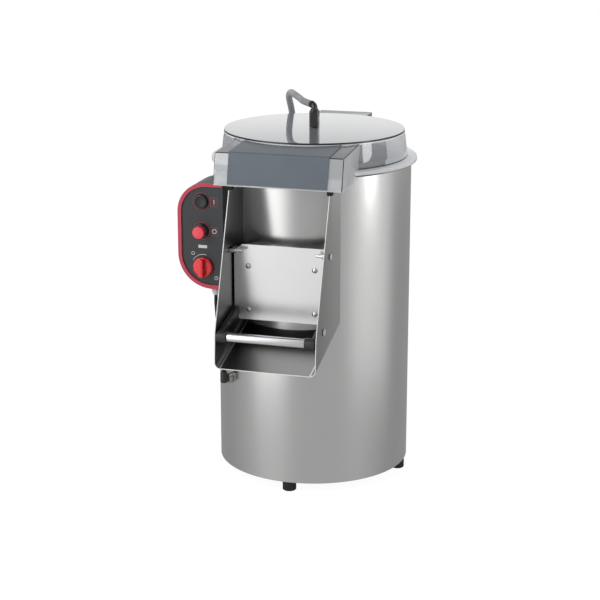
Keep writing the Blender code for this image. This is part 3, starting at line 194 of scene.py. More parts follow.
# The chute is the same folded sheet painted darker, as painted shade; the chamber floor, outlet neck and hinge bracket
# take it too.
shadedSteel = makeSatinSteel("stainless_steel_folded_sheet", "#8C8C8C", "#949392", (0.275, 0.280))
# The door is the same sheet painted lighter: a painted highlight.
litSteel = makeSatinSteel("stainless_steel_bright_sheet", "#E0E0E0", "#E6E6E6", (0.260, 0.265))
# The sheet's cut edge is painted near white: a painted highlight along it.
edgeHighlightSteel = finished("stainless_steel_cut_edge", "#ECECEC", 0.002, 0.0, (0.28, 0.36), metallic=0.35)
# Turned and polished stainless steel of screws and pins: small bright points with dark rims.
polishedSteel = finished("stainless_steel_polished", "#D8D8D8", 0.002, 0.000003, (0.10, 0.18), metallic=1.0)
# Zinc-plated steel of the base plate, dull from the bath.
platedSteel = finished("steel_zinc_plated", "#8F9092", 0.012, 0.00001, (0.35, 0.50), ("#7C7E82", "#9A9B9C", 0.030), 4.0,
                       metallic=1.0)
# Drawn aluminium tube, clear anodised: bright, with fine lines along the draw.
anodisedAluminium = finished("aluminium_anodised_tube", "#DCDDDF", (0.080, 0.0008, 0.0008), 0.000002, (0.24, 0.30),
                             metallic=1.0)
# Sand-cast aluminium of the motor, pulleys and bearing housing: grey, with a rough skin.
castAluminium = finished("aluminium_sand_cast", "#A4A6A8", 0.003, 0.00012, (0.45, 0.60), ("#96989B", "#B0B1B2", 0.025),
                         5.0, metallic=1.0)


# Clear polycarbonate, injection moulded: smooth and see-through, bright at its edges.
def makeClear(name, color, roughness, transmission, ior=1.585, **sockets):
    made, tree, shader = newMaterial(name, color=color, roughness=roughness, ior=ior, transmission_weight=transmission,
                                     **sockets)
    addGrain(tree, shader, 0.150, 0.00002, (roughness, roughness + 0.02))
    # Light falls through the lid, so shadow rays pass it with only a light tint.
    path = addNode(tree, "ShaderNodeLightPath")
    passing = addNode(tree, "ShaderNodeBsdfTransparent", {"Color": linear("#EDEFF1")})
    mixOut(tree, path.outputs["Is Shadow Ray"], shader, passing)
    return made


clearPlastic = makeClear("polycarbonate_clear", "#CED2D6", 0.01, 0.82)
# The lid's flat top mirrors what stands on it through its coat, and its pale grey colour is a painted reflection of the
# bright studio.
reflectionTopPlastic = makeClear("polycarbonate_clear_top", "#B4B8BE", 0.03, 0.35, 2.1, coat_weight=1.0, coat_ior=1.9,
                       coat_roughness=0.02)
# Painted shade: the top's cut edge is painted dark, as the edge of a glass pane looks, and so are the skirt's foot, the
# rim's underside and thin outlines along edges.
shadeEdgePlastic = makeClear("polycarbonate_clear_edge", "#2A2E31", 0.10, 0.2)
# The thick rolled rim at the lid's foot, the skirt's top band and the hood's lower edges are painted near white: a
# painted highlight.
highlightPlastic = makeClear("polycarbonate_clear_rim", "#FDFEFF", 0.08, 0.35)
# The hood's ends, front and top are painted whiter than the clear walls: painted light.
litHoodPlastic = makeClear("polycarbonate_clear_hood", "#F4F6F8", 0.03, 0.60)
# The hinge box is seen nearly flat through both of its walls; its top is painted grey as painted shade, so it reads as
# a grey bar.
shadedBoxPlastic = makeClear("polycarbonate_clear_box", "#6A6D71", 0.12, 0.15, 1.40)

# Polyester-coated sheet bent over the hood: blue-grey, satin, with a faint orange peel.
slatePaint = finished("polyester_coated_sheet", "#606A74", 0.0025, 0.00001, (0.30, 0.40), ("#5C656E", "#66707A", 0.060),
                      ior=1.50)
# Polyamide 6 with glass fibre, moulded: black with a fine matt grain.
blackPlastic = finished("polyamide_black_moulded", "#262627", 0.0010, 0.00003, (0.38, 0.50), ior=1.53)
# The same, from a polished mould: glossy fitting on the lid.
glossPlastic = finished("polyamide_black_polished", "#0E0E10", 0.010, 0.00001, (0.08, 0.16), ior=1.53, coat_weight=0.5)
# EPDM rubber, pressed: deep matt black, a little dusty.
blackRubber = finished("rubber_epdm_black", "#151515", 0.0015, 0.00005, (0.65, 0.85), ("#121212", "#1D1D1C", 0.015),
                       ior=1.50)
# ABS with a light spark-erosion grain: the control box's housing.
greyPlastic = finished("abs_grey_moulded", "#55585B", 0.0012, 0.00003, (0.42, 0.55), ior=1.53)
# PVC-U pipe, extruded: even grey with faint lines along its length.
pipePlastic = finished("pvc_pipe_grey", "#6A6D70", (0.0020, 0.060, 0.0020), 0.00002, (0.30, 0.42), ior=1.53)
# Light grey polyamide of cable glands.
glandPlastic = finished("polyamide_light_grey", "#DCDFE4", 0.0012, 0.00002, (0.35, 0.48), ior=1.53)
# Embossed polyester foil of the panel's face: charcoal, very fine texture.
panelFoil = finished("polyester_foil_charcoal", "#3A3C3E", 0.0008, 0.00002, (0.40, 0.52), ior=1.50)
# Red ABS frame of the panel, satin.
trimPlastic = finished("abs_red_satin", "#CB4459", 0.0012, 0.00002, (0.35, 0.45), ior=1.53)
# Red polycarbonate of the timer's knob: smooth and saturated.
redPlastic = finished("polycarbonate_red", "#F20C1A", 0.004, 0.00001, (0.22, 0.30), ior=1.585, coat_weight=0.4,
                      coat_roughness=0.08)
# The stop button's cap is a pinkish red of the same kind, made brighter as painted light where it faces a lamp.
litCapPlastic = finished("polycarbonate_signal_red", "#FF4A5E", 0.004, 0.00001, (0.22, 0.30), ior=1.585)
# Nickel-plated brass of the nut that holds the drum's gland.
nickelBrass = finished("brass_nickel_plated", "#B9B6B0", 0.002, 0.000003, (0.20, 0.30), metallic=1.0)
# Screen-printing inks on the foil.
paleInk, redInk = [finished(name, color, 0.001, 0.000004, (0.45, 0.55), ior=1.45)
                   for name, color in (("screen_ink_pale_grey", "#E2E4E6"), ("screen_ink_red", "#B23A4C"))]
# Soft PVC hose, grey and slightly translucent, darker where it holds water.
hosePlastic = finished("pvc_hose_grey", "#989CA0", 0.004, 0.00003, (0.22, 0.34), ("#8D9195", "#A5A9AD", 0.030),
                       ior=1.53, subsurface_weight=0.15, subsurface_radius=(0.004, 0.004, 0.004))

# Silicon carbide grit in resin. The real grains are about 2 mm, drawn at 3 mm.
gritCoating, tree, shader = newMaterial("silicon_carbide_grit", ior=1.60)
centred = addGrain(tree, shader, 0.003, 0.0, (0.55, 0.80))
cells = addNode(tree, "ShaderNodeTexVoronoi", {"Vector": centred, "Scale": 1 / 0.003}).outputs
bump = addNode(tree, "ShaderNodeBump", {"Height": cells["Distance"], "Strength": 1.0, "Distance": 0.0008}, invert=True)
tree.links.new(bump.outputs[0], shader.inputs["Normal"])
tree.links.new(tintNode(tree, cells["Color"], "#2B2927", "#56514C"), shader.inputs["Base Color"])
print("materials:", len(bpy.data.materials))


# Mesh helpers

# Corners of a closed outline rounded off; points on the axis of a turned profile stay.
def softCorners(points, radius, steps=3, closed=True):
    soft = []
    for i, point in enumerate(points):
        corner = Vector(point)
        if not closed and i in (0, len(points) - 1) or abs(corner[0]) < 1e-7:
            soft.append(tuple(corner))
            continue
        back, ahead = Vector(points[i - 1]) - corner, Vector(points[(i + 1) % len(points)]) - corner
        reach = min(radius, back.length * 0.45, ahead.length * 0.45)
        start, end = corner + back.normalized() * reach, corner + ahead.normalized() * reach
        for k in range(steps + 1):
            t = k / steps
            soft.append(tuple(start * (1 - t) ** 2 + corner * 2 * t * (1 - t) + end * t ** 2))
    return soft


def arc(centre, radius, start, end, steps):
    angles = [start + (end - start) * i / steps for i in range(steps + 1)]
    return [(centre[0] + radius * cos(a), centre[1] + radius * sin(a)) for a in angles]


def stand(shape, at, along):
    turn = Vector((0, 0, 1)).rotation_difference(Vector(along).normalized()).to_matrix().to_4x4()
    bmesh.ops.transform(shape, matrix=Matrix.Translation(at) @ turn, verts=shape.verts)
    return shape


def clean(shape):
    bmesh.ops.remove_doubles(shape, verts=shape.verts, dist=1e-6)
    bmesh.ops.recalc_face_normals(shape, faces=shape.faces)
    return shape


# A closed outline of (radius, height) turned about a line.
def turned(outline, at=(0, 0, 0), along=(0, 0, 1), steps=64):
    shape = bmesh.new()
    points = [shape.verts.new((radius, 0, height)) for radius, height in outline]
    edges = [shape.edges.new((points[i - 1], points[i])) for i in range(len(points))]
    bmesh.ops.spin(shape, geom=points + edges, cent=(0, 0, 0), axis=(0, 0, 1), angle=2 * pi, steps=steps,
                   use_merge=True)
    return stand(clean(shape), at, along)


# A flat outline pushed along an axis: (y, z) points for X, (x, z) for Y and (x, y) for Z.
def pushed(outline, axis, low, high, skew=0):
    places = {"X": lambda a, b: (low, a, b), "Y": lambda a, b: (a, low, b), "Z": lambda a, b: (a, b, low)}
    pushes = {"X": (high - low, 0, 0), "Y": (0, high - low, skew), "Z": (0, 0, high - low)}
    shape = bmesh.new()
    face = shape.faces.new([shape.verts.new(places[axis](a, b)) for a, b in outline])
    moved = bmesh.ops.extrude_face_region(shape, geom=[face])
    bmesh.ops.translate(shape, verts=[v for v in moved["geom"] if isinstance(v, bmesh.types.BMVert)],
                        vec=pushes[axis])
    return clean(shape)


def block(low, high):
    return pushed([(low[0], low[1]), (high[0], low[1]), (high[0], high[1]), (low[0], high[1])], "Z", low[2], high[2])


def softened(shape, width, steps=2):
    edges = [e for e in shape.edges if len(e.link_faces) == 2 and e.calc_face_angle(0) > radians(30)]
    bmesh.ops.bevel(shape, geom=edges, offset=width, segments=steps, profile=0.5, affect="EDGES",
                    clamp_overlap=True)
    return shape


# A tube swept along points, its ends closed.
def swept(path, radius, sides=24):
    points = [Vector(p) for p in path]
    shape, rings = bmesh.new(), []
    ahead = [(points[min(i + 1, len(points) - 1)] - points[max(i - 1, 0)]).normalized() for i in range(len(points))]
    side = ahead[0].orthogonal().normalized()
    for point, forward in zip(points, ahead):
        side = (side - forward * side.dot(forward)).normalized()
        other = forward.cross(side)
        rings.append([shape.verts.new(point + radius * (side * cos(a) + other * sin(a)))
                      for a in [2 * pi * k / sides for k in range(sides)]])
    for first, second in zip(rings, rings[1:]):
        for k in range(sides):
            shape.faces.new((first[k - 1], first[k], second[k], second[k - 1]))
    shape.faces.new(rings[0])
    shape.faces.new(rings[-1])
    return clean(shape)


# A smooth curve through a route's own points.
def smoothRoute(route, steps=8):
    points = [Vector(p) for p in route]
    ends = [2 * points[0] - points[1], *points, 2 * points[-1] - points[-2]]
    path = []
    for a, b, c, d in zip(ends, ends[1:], ends[2:], ends[3:]):
        for i in range(steps):
            t = i / steps
            path.append(((2 * b) + (c - a) * t + (2 * a - 5 * b + 4 * c - d) * t ** 2
                         + (3 * b - a - 3 * c + d) * t ** 3) / 2)
    return [*path, points[-1]]


def looseObject(name, shape):
    mesh = bpy.data.meshes.new(name)
    shape.to_mesh(mesh)
    shape.free()
    made = bpy.data.objects.new(name, mesh)
    bpy.context.collection.objects.link(made)
    return made


# Other plain shapes cut out of one, or joined or crossed with it; the helpers are gone afterwards.
def carved(shape, *others, operation="DIFFERENCE"):
    base = looseObject("base", shape)
    helpers = [looseObject("helper", other) for other in others]
    for helper in helpers:
        change = base.modifiers.new("change", "BOOLEAN")
        change.operation, change.object, change.solver = operation, helper, "EXACT"
    result = bmesh.new()
    result.from_object(base, bpy.context.evaluated_depsgraph_get())
    for gone in (base, *helpers):
        bpy.data.objects.remove(gone)
    return result


def joined(*shapes):
    whole = bmesh.new()
    for shape in shapes:
        mesh = bpy.data.meshes.new("part")
        shape.to_mesh(mesh)
        shape.free()
        whole.from_mesh(mesh)
        bpy.data.meshes.remove(mesh)
    return whole


# A round outline from its foot upwards, heights and radii in turn; "bore" is the radius of its hole.
def stepped(*levels, bore=0):
    heights, radii = levels[::2], levels[1::2]
    sides = [(radius, height) for radius, low, high in zip(radii, heights, heights[1:]) for height in (low, high)]
    return [(bore, heights[0]), *sides, (bore, heights[-1])]


def rod(radius, low, high, at=(0, 0, 0), along=(0, 0, 1), steps=48):
    return turned(stepped(low, radius, high), at, along, steps)


# The same with soft corners, 0.8 mm unless told otherwise
def lathed(outline, soft=0.0008, at=(0, 0, 0), along=(0, 0, 1), steps=40, softSteps=3):
    return turned(softCorners(outline, soft, softSteps), at, along, steps)


# Finishes a piece: its place, material, soft edges and body, and the CAD nodes it stands for.
def addPiece(name, shape, finish, nodes, slot, body="frame", edge=0.0, edgeSteps=2):
    bmesh.ops.translate(shape, verts=shape.verts, vec=drumAxis)
    piece = looseObject(name, shape)
    for material in finish if isinstance(finish, list) else [finish]:
        piece.data.materials.append(material)
    piece.data.shade_smooth()
    piece.data.set_sharp_from_angle(angle=sharpAngle)
    if edge:
        bevel = piece.modifiers.new("soft edges", "BEVEL")
        bevel.width, bevel.segments, bevel.limit_method, bevel.angle_limit = edge, edgeSteps, "ANGLE", sharpAngle
        bevel.harden_normals = True
    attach(piece, body)
    nodes = nodes.split()
    if nodes:
        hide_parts(*nodes)
    return piece


# A merged copy of a CAD node, for shapes that are right already and only need soft edges.
def copyOf(node):
    shape = bmesh.new()
    shape.from_mesh(frame["nodes"][node].data)
    bmesh.ops.translate(shape, verts=shape.verts, vec=-drumAxis)
    bmesh.ops.remove_doubles(shape, verts=shape.verts, dist=1e-6)
    bmesh.ops.dissolve_limit(shape, angle_limit=radians(0.5), verts=shape.verts, edges=shape.edges)
    return shape


# Geometry Nodes helpers

def newTree(name, **sizes):
    tree = bpy.data.node_groups.new(name, "GeometryNodeTree")
    for key, kind in {"Geometry": "Geometry", **sizes}.items():
        tree.interface.new_socket(name=key.replace("_", " "), in_out="INPUT", socket_type="NodeSocket" + kind)
    tree.interface.new_socket(name="Geometry", in_out="OUTPUT", socket_type="NodeSocketGeometry")
    return tree, addNode(tree, "NodeGroupInput").outputs


def shapeNode(tree, kind, inputs=None, **settings):
    return addNode(tree, "GeometryNode" + kind, inputs, **settings).outputs[0]


def axesNode(tree, **values):
    return addNode(tree, "ShaderNodeCombineXYZ", values).outputs[0]


def pieceNode(tree, socket):
    return addNode(tree, "GeometryNodeObjectInfo", {"Object": socket["Piece"]}).outputs["Geometry"]


# Realize Instances and Set Material end every tree.
def endTree(tree, geometry, finish):
    real = shapeNode(tree, "RealizeInstances", {"Geometry": geometry})
    painted = shapeNode(tree, "SetMaterial", {"Geometry": real, "Material": finish})
    addNode(tree, "NodeGroupOutput", {"Geometry": painted})


# Runs a tree on a shape, or on nothing, and gives the result back as a plain shape.
def grown(tree, base=None, **values):
    start = looseObject("start", bmesh.new() if base is None else base)
    helpers = [start]
    if "Piece" in values:
        values["Piece"] = looseObject("piece", values["Piece"])
        helpers.append(values["Piece"])
    modifier = start.modifiers.new("grow", "NODES")
    modifier.node_group = tree
    for item in tree.interface.items_tree:
        key = item.name.replace(" ", "_")
        if item.in_out == "INPUT" and key in values:
            modifier[item.identifier] = values[key]
    start.update_tag()
    depsgraph = bpy.context.evaluated_depsgraph_get()
    mesh = bpy.data.meshes.new_from_object(start.evaluated_get(depsgraph), depsgraph=depsgraph)
    result = bmesh.new()
    result.from_mesh(mesh)
    for helper in helpers:
        bpy.data.objects.remove(helper)
    bpy.data.meshes.remove(mesh)
    return result


# A wall turned round the drum's axis, from a rectangle with soft corners swept round a circle.
wallTree, socket = newTree("turnedWall", Radius="Float", Wall="Float", Height="Float", Bottom="Float",
                           Edge_Round="Float", Steps="Int", Finish="Material")
path = mathNode(wallTree, "SUBTRACT", socket["Radius"], mathNode(wallTree, "DIVIDE", socket["Wall"], 2.0))
circle = shapeNode(wallTree, "CurvePrimitiveCircle", {"Resolution": socket["Steps"], "Radius": path})
section = shapeNode(wallTree, "CurvePrimitiveQuadrilateral", {"Width": socket["Wall"], "Height": socket["Height"]})
rounded = shapeNode(wallTree, "FilletCurve", {"Curve": section, "Count": 3, "Radius": socket["Edge Round"]},
                    mode="POLY")
sweep = shapeNode(wallTree, "CurveToMesh", {"Curve": circle, "Profile Curve": rounded})
lift = mathNode(wallTree, "ADD", mathNode(wallTree, "DIVIDE", socket["Height"], 2.0), socket["Bottom"])
placed = shapeNode(wallTree, "SetPosition", {"Geometry": sweep, "Offset": axesNode(wallTree, Z=lift)})
endTree(wallTree, placed, socket["Finish"])

# Copies of a small piece round an arc about Z, each turned to face outwards.
ringTree, socket = newTree("copiesOnRing", Piece="Object", Copies="Int", Ring_Radius="Float", Start_Angle="Float",
                           Step_Angle="Float", Finish="Material")
line = shapeNode(ringTree, "MeshLine", {"Count": socket["Copies"]})
index = shapeNode(ringTree, "InputIndex")
turn = mathNode(ringTree, "MULTIPLY_ADD", index, socket["Step Angle"], socket["Start Angle"])
unit = axesNode(ringTree, X=mathNode(ringTree, "COSINE", turn), Y=mathNode(ringTree, "SINE", turn))
spot = addNode(ringTree, "ShaderNodeVectorMath", {0: unit, "Scale": socket["Ring Radius"]}, operation="SCALE")
points = shapeNode(ringTree, "SetPosition", {"Geometry": line, "Position": spot.outputs[0]})
copies = shapeNode(ringTree, "InstanceOnPoints", {"Points": points, "Instance": pieceNode(ringTree, socket),
                                                  "Rotation": axesNode(ringTree, Z=turn)})
endTree(ringTree, copies, socket["Finish"])

# Copies of a small piece at the corners of a rectangle.
gridTree, socket = newTree("copiesOnGrid", Piece="Object", Size_X="Float", Size_Y="Float", Finish="Material")
grid = shapeNode(gridTree, "MeshGrid", {"Size X": socket["Size X"], "Size Y": socket["Size Y"], "Vertices X": 2,
                                        "Vertices Y": 2})
copies = shapeNode(gridTree, "InstanceOnPoints", {"Points": grid, "Instance": pieceNode(gridTree, socket)})
endTree(gridTree, copies, socket["Finish"])

# Grit scattered over a surface, each grain a small turned stone; the seed is fixed.
gritTree, socket = newTree("gritCover", Grain_Size="Float", Grains_Per_Area="Float", Seed="Int", Finish="Material")
scatter = shapeNode(gritTree, "DistributePointsOnFaces", {
    "Mesh": socket["Geometry"], "Density": socket["Grains Per Area"], "Seed": socket["Seed"]})
stone = shapeNode(gritTree, "MeshIcoSphere", {"Radius": socket["Grain Size"], "Subdivisions": 1})
tumble = addNode(gritTree, "FunctionNodeRandomValue", {0: (0, 0, 0), 1: (6.28, 6.28, 6.28), "Seed": socket["Seed"]},
                 data_type="FLOAT_VECTOR")
growth = addNode(gritTree, "FunctionNodeRandomValue", {2: 0.5, 3: 1.0, "Seed": socket["Seed"]}, data_type="FLOAT")
copies = shapeNode(gritTree, "InstanceOnPoints", {"Points": scatter, "Instance": stone, "Rotation": tumble.outputs[0],
                                                  "Scale": growth.outputs[1]})
both = addNode(gritTree, "GeometryNodeJoinGeometry")
for part in (socket["Geometry"], copies):
    gritTree.links.new(part, both.inputs[0])
endTree(gritTree, both.outputs[0], socket["Finish"])
print("node trees:", [t.name for t in bpy.data.node_groups])


def ringOf(piece, copies, radius, finish, start=0.0, step=None):
    return grown(ringTree, Piece=piece, Copies=copies, Ring_Radius=radius, Start_Angle=start,
                 Step_Angle=2 * pi / copies if step is None else step, Finish=finish)


# Drum: shell, liner, chamber floor, base plate and feet
drum = {"sheet": 0.0015, "edgeRound": 0.0006, "steps": 256, "windowInset": 0.002, "linerWall": 0.0045,
        "linerRound": 0.0010, "drainOffset": 0.150, "drainHole": 0.022}
neckLow, neckHigh = boxOf("outlet_neck")
pipeLow, pipeHigh = boxOf("drain_pipe")
pipeRadius = (pipeHigh.x - pipeLow.x) / 2
drainHeight = pipeLow.z + pipeRadius
gland = {"angle": radians(44), "height": 0.214, "hole": 0.0053, "thread": 0.005, "collar": 0.011, "nut": 0.007,
         "neck": 0.0075, "end": 0.016, "rise": 0.016, "soft": 0.0006, "riserSoft": 0.0010,
         "riser": [(0, -0.0075), (0.0075, -0.0075), (0.0075, 0.012), (0.0068, 0.0125), (0.0068, 0.016), (0, 0.016)]}
glandWay = Vector((-sin(gland["angle"]), -cos(gland["angle"]), 0))


def wallOf(node, wall, edgeRound, finish):
    low, high = boxOf(node)
    return grown(wallTree, Radius=high.x, Wall=wall, Height=high.z - low.z, Bottom=low.z, Edge_Round=edgeRound,
                 Steps=drum["steps"], Finish=finish)


# The room that the drum takes up, cut out of what stands against it
def drumSpace(low=drumLow.z, high=drumHigh.z):
    return rod(drumRadius + gap, low, high, steps=drum["steps"])


def outletSpace():
    inset = drum["windowInset"]
    return block((inset + neckLow.x, -drumRadius - overrun, neckLow.z + inset),
                 (neckHigh.x - inset, -drumRadius / 2, neckHigh.z - inset))


shell = carved(wallOf("body_shell", drum["sheet"], drum["edgeRound"], satinSteel), outletSpace(),
               *[rod(radius, drumRadius / 2, drumRadius + overrun, (0, 0, height), way) for radius, height, way in
                 ((pipeRadius + gap, drainHeight, backWay), (gland["hole"], gland["height"], glandWay))])
addPiece("drumShell", shell, satinSteel, "body_shell", "satin_steel")
liner = wallOf("abrasive_liner", drum["linerWall"], drum["linerRound"], gritCoating)
addPiece("linerWall", carved(liner, outletSpace()), gritCoating, "abrasive_liner", "abrasive_liner")

floorLow, floorHigh = boxOf("chamber_floor")
chamberFloor = {"sheet": 0.003, "rimSheet": 0.0015, "hub": 0.028, "soft": 0.0006}
floorSide, floorRise = floorHigh.x - chamberFloor["rimSheet"], floorLow.z + chamberFloor["sheet"]
floorShape = lathed([(chamberFloor["hub"], floorLow.z), (floorHigh.x, floorLow.z), (floorHigh.x, floorHigh.z),
                     (floorSide, floorHigh.z), (floorSide, floorRise), (chamberFloor["hub"], floorRise)],
                    chamberFloor["soft"], steps=wideSteps)
drainCutter = rod(drum["drainHole"], floorLow.z - overrun, floorHigh.z, (0, drum["drainOffset"], 0))
addPiece("chamberFloor", carved(floorShape, drainCutter), shadedSteel, "chamber_floor", "satin_steel")

baseLow, baseHigh = boxOf("base_plate")
addPiece("basePlate", lathed(stepped(baseLow.z, baseHigh.x, baseHigh.z), steps=wideSteps), platedSteel, "base_plate",
         "dark_steel")

foot = {"radius": 0.014, "chamfer": 0.0015, "round": 0.0010, "count": 4}
footTop, footRadius, footNeck = drumLow.z - gap, foot["radius"], foot["radius"] - foot["chamfer"]
footShape = lathed([(0, 0), (footNeck, 0), (footRadius, foot["chamfer"]), (footRadius, footTop - foot["chamfer"]),
                    (footNeck, footTop), (0, footTop)], foot["round"])
addPiece("feet", ringOf(footShape, foot["count"], drumRadius - footRadius, blackRubber), blackRubber,
         "foot_front foot_right foot_rear foot_left", "black_rubber")
print("drum made")

# Peeling plate with its grit, and the nut
plate = {"grain": 0.0013, "perArea": 16000, "seed": 3}
gritPlate = grown(gritTree, copyOf("peeling_plate"), Grain_Size=plate["grain"], Grains_Per_Area=plate["perArea"],
                  Seed=plate["seed"], Finish=gritCoating)
addPiece("gritPlate", gritPlate, gritCoating, "peeling_plate", "abrasive_plate", "plate_drive")
addPiece("plateNut", copyOf("plate_nut"), polishedSteel, "plate_nut", "satin_steel", "plate_drive", edge=0.0008)

# Lid: turned cap, hood and hinge box in one clear moulding
lid = {"flangeRadius": 0.209, "flange": 0.009, "rim": 0.0032, "rimRoot": 0.006, "skirtRadius": 0.188,
       "skirtHeight": 0.011, "sideRound": 0.0018, "discRadius": 0.183, "discRound": 0.0004, "height": 0.063,
       "wall": 0.003, "hoodHalfWidth": 0.1275, "hoodStep": 0.004, "hoodFall": 0.008, "hoodTopReach": 0.252,
       "hoodFootReach": 0.266, "boxHalfWidth": 0.057, "boxReach": 0.262, "boxDrop": 0.007, "boxDepth": 0.032,
       "boxRoot": 0.192, "paintedHighlightBand": 0.0025, "round": 0.0015, "steps": 192, "pinBore": 0.0043, "nozzleBore": 0.0063,
       "bite": 0.001}
wall, flangeRadius, discRadius, skirtRadius, hoodHalf, boxHalf = (
    lid[key] for key in ("wall", "flangeRadius", "discRadius", "skirtRadius", "hoodHalfWidth", "boxHalfWidth"))
lidBottom, lidTop, hoodBottom = boxOf("lid_seal")[1].z + gap, boxOf("lid_cover")[1].z, boxOf("lid_cover")[0].z
flangeTop, discFoot, boxCeiling = lidBottom + lid["flange"], lidTop - wall, lidTop - lid["boxDrop"]
skirtTop = flangeTop + lid["skirtHeight"]
hingeEnd = boxOf("lid_hinge_pin")[1].x
lidAxis = crossAxis("lid_hinge_pin")
slant = wall / cos(atan2(skirtRadius - discRadius, lidTop - skirtTop))
lean = (skirtRadius - discRadius) / (discFoot - skirtTop)
skirtRoot, innerSkirt, cavityFoot = skirtRadius + lid["rimRoot"], skirtRadius - slant, hoodBottom - overrun
rimProfile = softCorners([(flangeRadius - lid["rimRoot"], lidBottom), (flangeRadius, lidBottom),
                          (flangeRadius, flangeTop), (skirtRoot, flangeTop)], lid["rim"], 5, False)
# The skirt keeps a narrow band just under the top's edge, which takes a painted highlight.
sideProfile = softCorners([(skirtRoot, flangeTop), (skirtRadius, flangeTop), (skirtRadius, skirtTop),
                           (discRadius + lid["paintedHighlightBand"] * lean, discFoot - lid["paintedHighlightBand"]),
                           (discRadius, discFoot), (discRadius, lidTop)], lid["sideRound"], 4, False)
cap = turned([(0, lidBottom), *rimProfile, *sideProfile[1:-1], (discRadius - lid["discRound"], lidTop), (0, lidTop)],
             steps=lid["steps"])
capCavity = turned([(0, cavityFoot), (innerSkirt, cavityFoot), (innerSkirt, skirtTop), (discRadius - slant, discFoot),
                    (0, discFoot)], steps=lid["steps"])


# The corner b between a and c, moved outwards with both its sides
def offsetCorner(a, b, c, distance):
    first, second = (Vector(b) - Vector(a)).normalized(), (Vector(c) - Vector(b)).normalized()
    outward = Vector((first[1] + second[1], -first[0] - second[0])).normalized()
    return Vector(b) + outward * (distance / outward.dot(Vector((first[1], -first[0]))))


topBack = (-discRadius * 2 / 3, lidTop - lid["hoodStep"])
topFront = (-lid["hoodTopReach"], lidTop - lid["hoodStep"] - lid["hoodFall"])
hoodFoot = (-lid["hoodFootReach"], hoodBottom)
level = (0, topBack[1])
beyond = (2 * hoodFoot[0] - topFront[0], 2 * hoodFoot[1] - topFront[1])
hood = pushed([topBack, topFront, hoodFoot, (topBack[0], hoodBottom)], "X", -hoodHalf, hoodHalf)
hood = carved(softened(hood, lid["round"], 3), drumSpace(cavityFoot, lidBottom + lid["bite"]))
ceiling, brow, shin = [offsetCorner(*corner, -wall) for corner in (
    (level, topBack, topFront), (topBack, topFront, hoodFoot), (topFront, hoodFoot, beyond))]
below = shin + (shin - brow) * (overrun / (brow[1] - shin[1]))
hoodCavity = pushed([ceiling, brow, below, (ceiling[0], below[1])], "X", wall - hoodHalf, hoodHalf - wall)
boxFloor = boxCeiling - lid["boxDepth"]
hingeBox = softened(block((-boxHalf, discRadius * 2 / 3, boxFloor), (boxHalf, lid["boxReach"], boxCeiling)),
                    lid["round"], 3)
boxCavity = block((wall - boxHalf, lid["boxRoot"], boxFloor - overrun),
                  (boxHalf - wall, lid["boxReach"] + overrun, boxCeiling - wall))
hingeBox = carved(hingeBox, boxCavity)
cover = carved(carved(cap, hood, hingeBox, operation="UNION"), capCavity, hoodCavity,
               rod(lid["pinBore"], -hoodHalf, hoodHalf, lidAxis, acrossWay),
               rod(lid["nozzleBore"], discFoot - overrun, lidTop + overrun))


# The clear moulding's finish at a face, with light painted in: a painted reflection on top, painted shade at its edges,
# the skirt's foot and the rim's underside, a painted highlight at the rim and the skirt's top band, painted light on
# the hood, painted grey shade on the hinge box top, and clear elsewhere.
# The small lengths say how near to a plane or a wall a face has to lie, and how narrow a strip along an edge is.
def lidFinish(face):
    close, near, strip, long = 0.0005, 0.001, 0.0012, 0.008
    middle, normal, reach = face.calc_center_median(), face.normal, face.calc_center_median().xy.length
    height, longest = middle.z, max(e.calc_length() for e in face.edges)
    if height > discFoot - close and reach < discRadius - strip and abs(normal.z) > 0.9:
        return reflectionTopPlastic
    if middle.y > 0 and abs(height - boxCeiling) < near and normal.z > 0.9:
        return shadedBoxPlastic
    if (middle.y > skirtRadius and abs(normal.x) > 0.9 and height > flangeTop + 0.004
            or height > discFoot - close and abs(reach - discRadius) < strip and abs(normal.z) < 0.8
            or abs(reach - skirtRadius) < 0.003 and -0.0004 < height - flangeTop < 0.003):
        return shadeEdgePlastic
    if face.calc_area() / longest < strip and longest > long:
        return highlightPlastic if height < hoodBottom + 0.0035 else shadeEdgePlastic
    if reach > discRadius - near and discFoot - lid["paintedHighlightBand"] * 1.5 < height < discFoot:
        return highlightPlastic
    if reach > skirtRadius + close and lidBottom - close < height < flangeTop + close:
        return shadeEdgePlastic if -0.85 < normal.z < -0.25 else highlightPlastic
    if (abs(normal.x) > 0.9 and abs(middle.x) > hoodHalf - near
            or normal.y < -0.9 and middle.y < near - lid["hoodTopReach"]
            or normal.z > 0.9 and middle.y < 0 and height > topFront[1] - near and reach > discRadius + near):
        return litHoodPlastic
    return clearPlastic


lidFinishes = [clearPlastic, reflectionTopPlastic, shadeEdgePlastic, highlightPlastic, litHoodPlastic, shadedBoxPlastic]
for face in cover.faces:
    face.material_index = lidFinishes.index(lidFinish(face))
addPiece("lidCover", cover, lidFinishes, "lid_cover", "clear_polycarbonate", "lid")

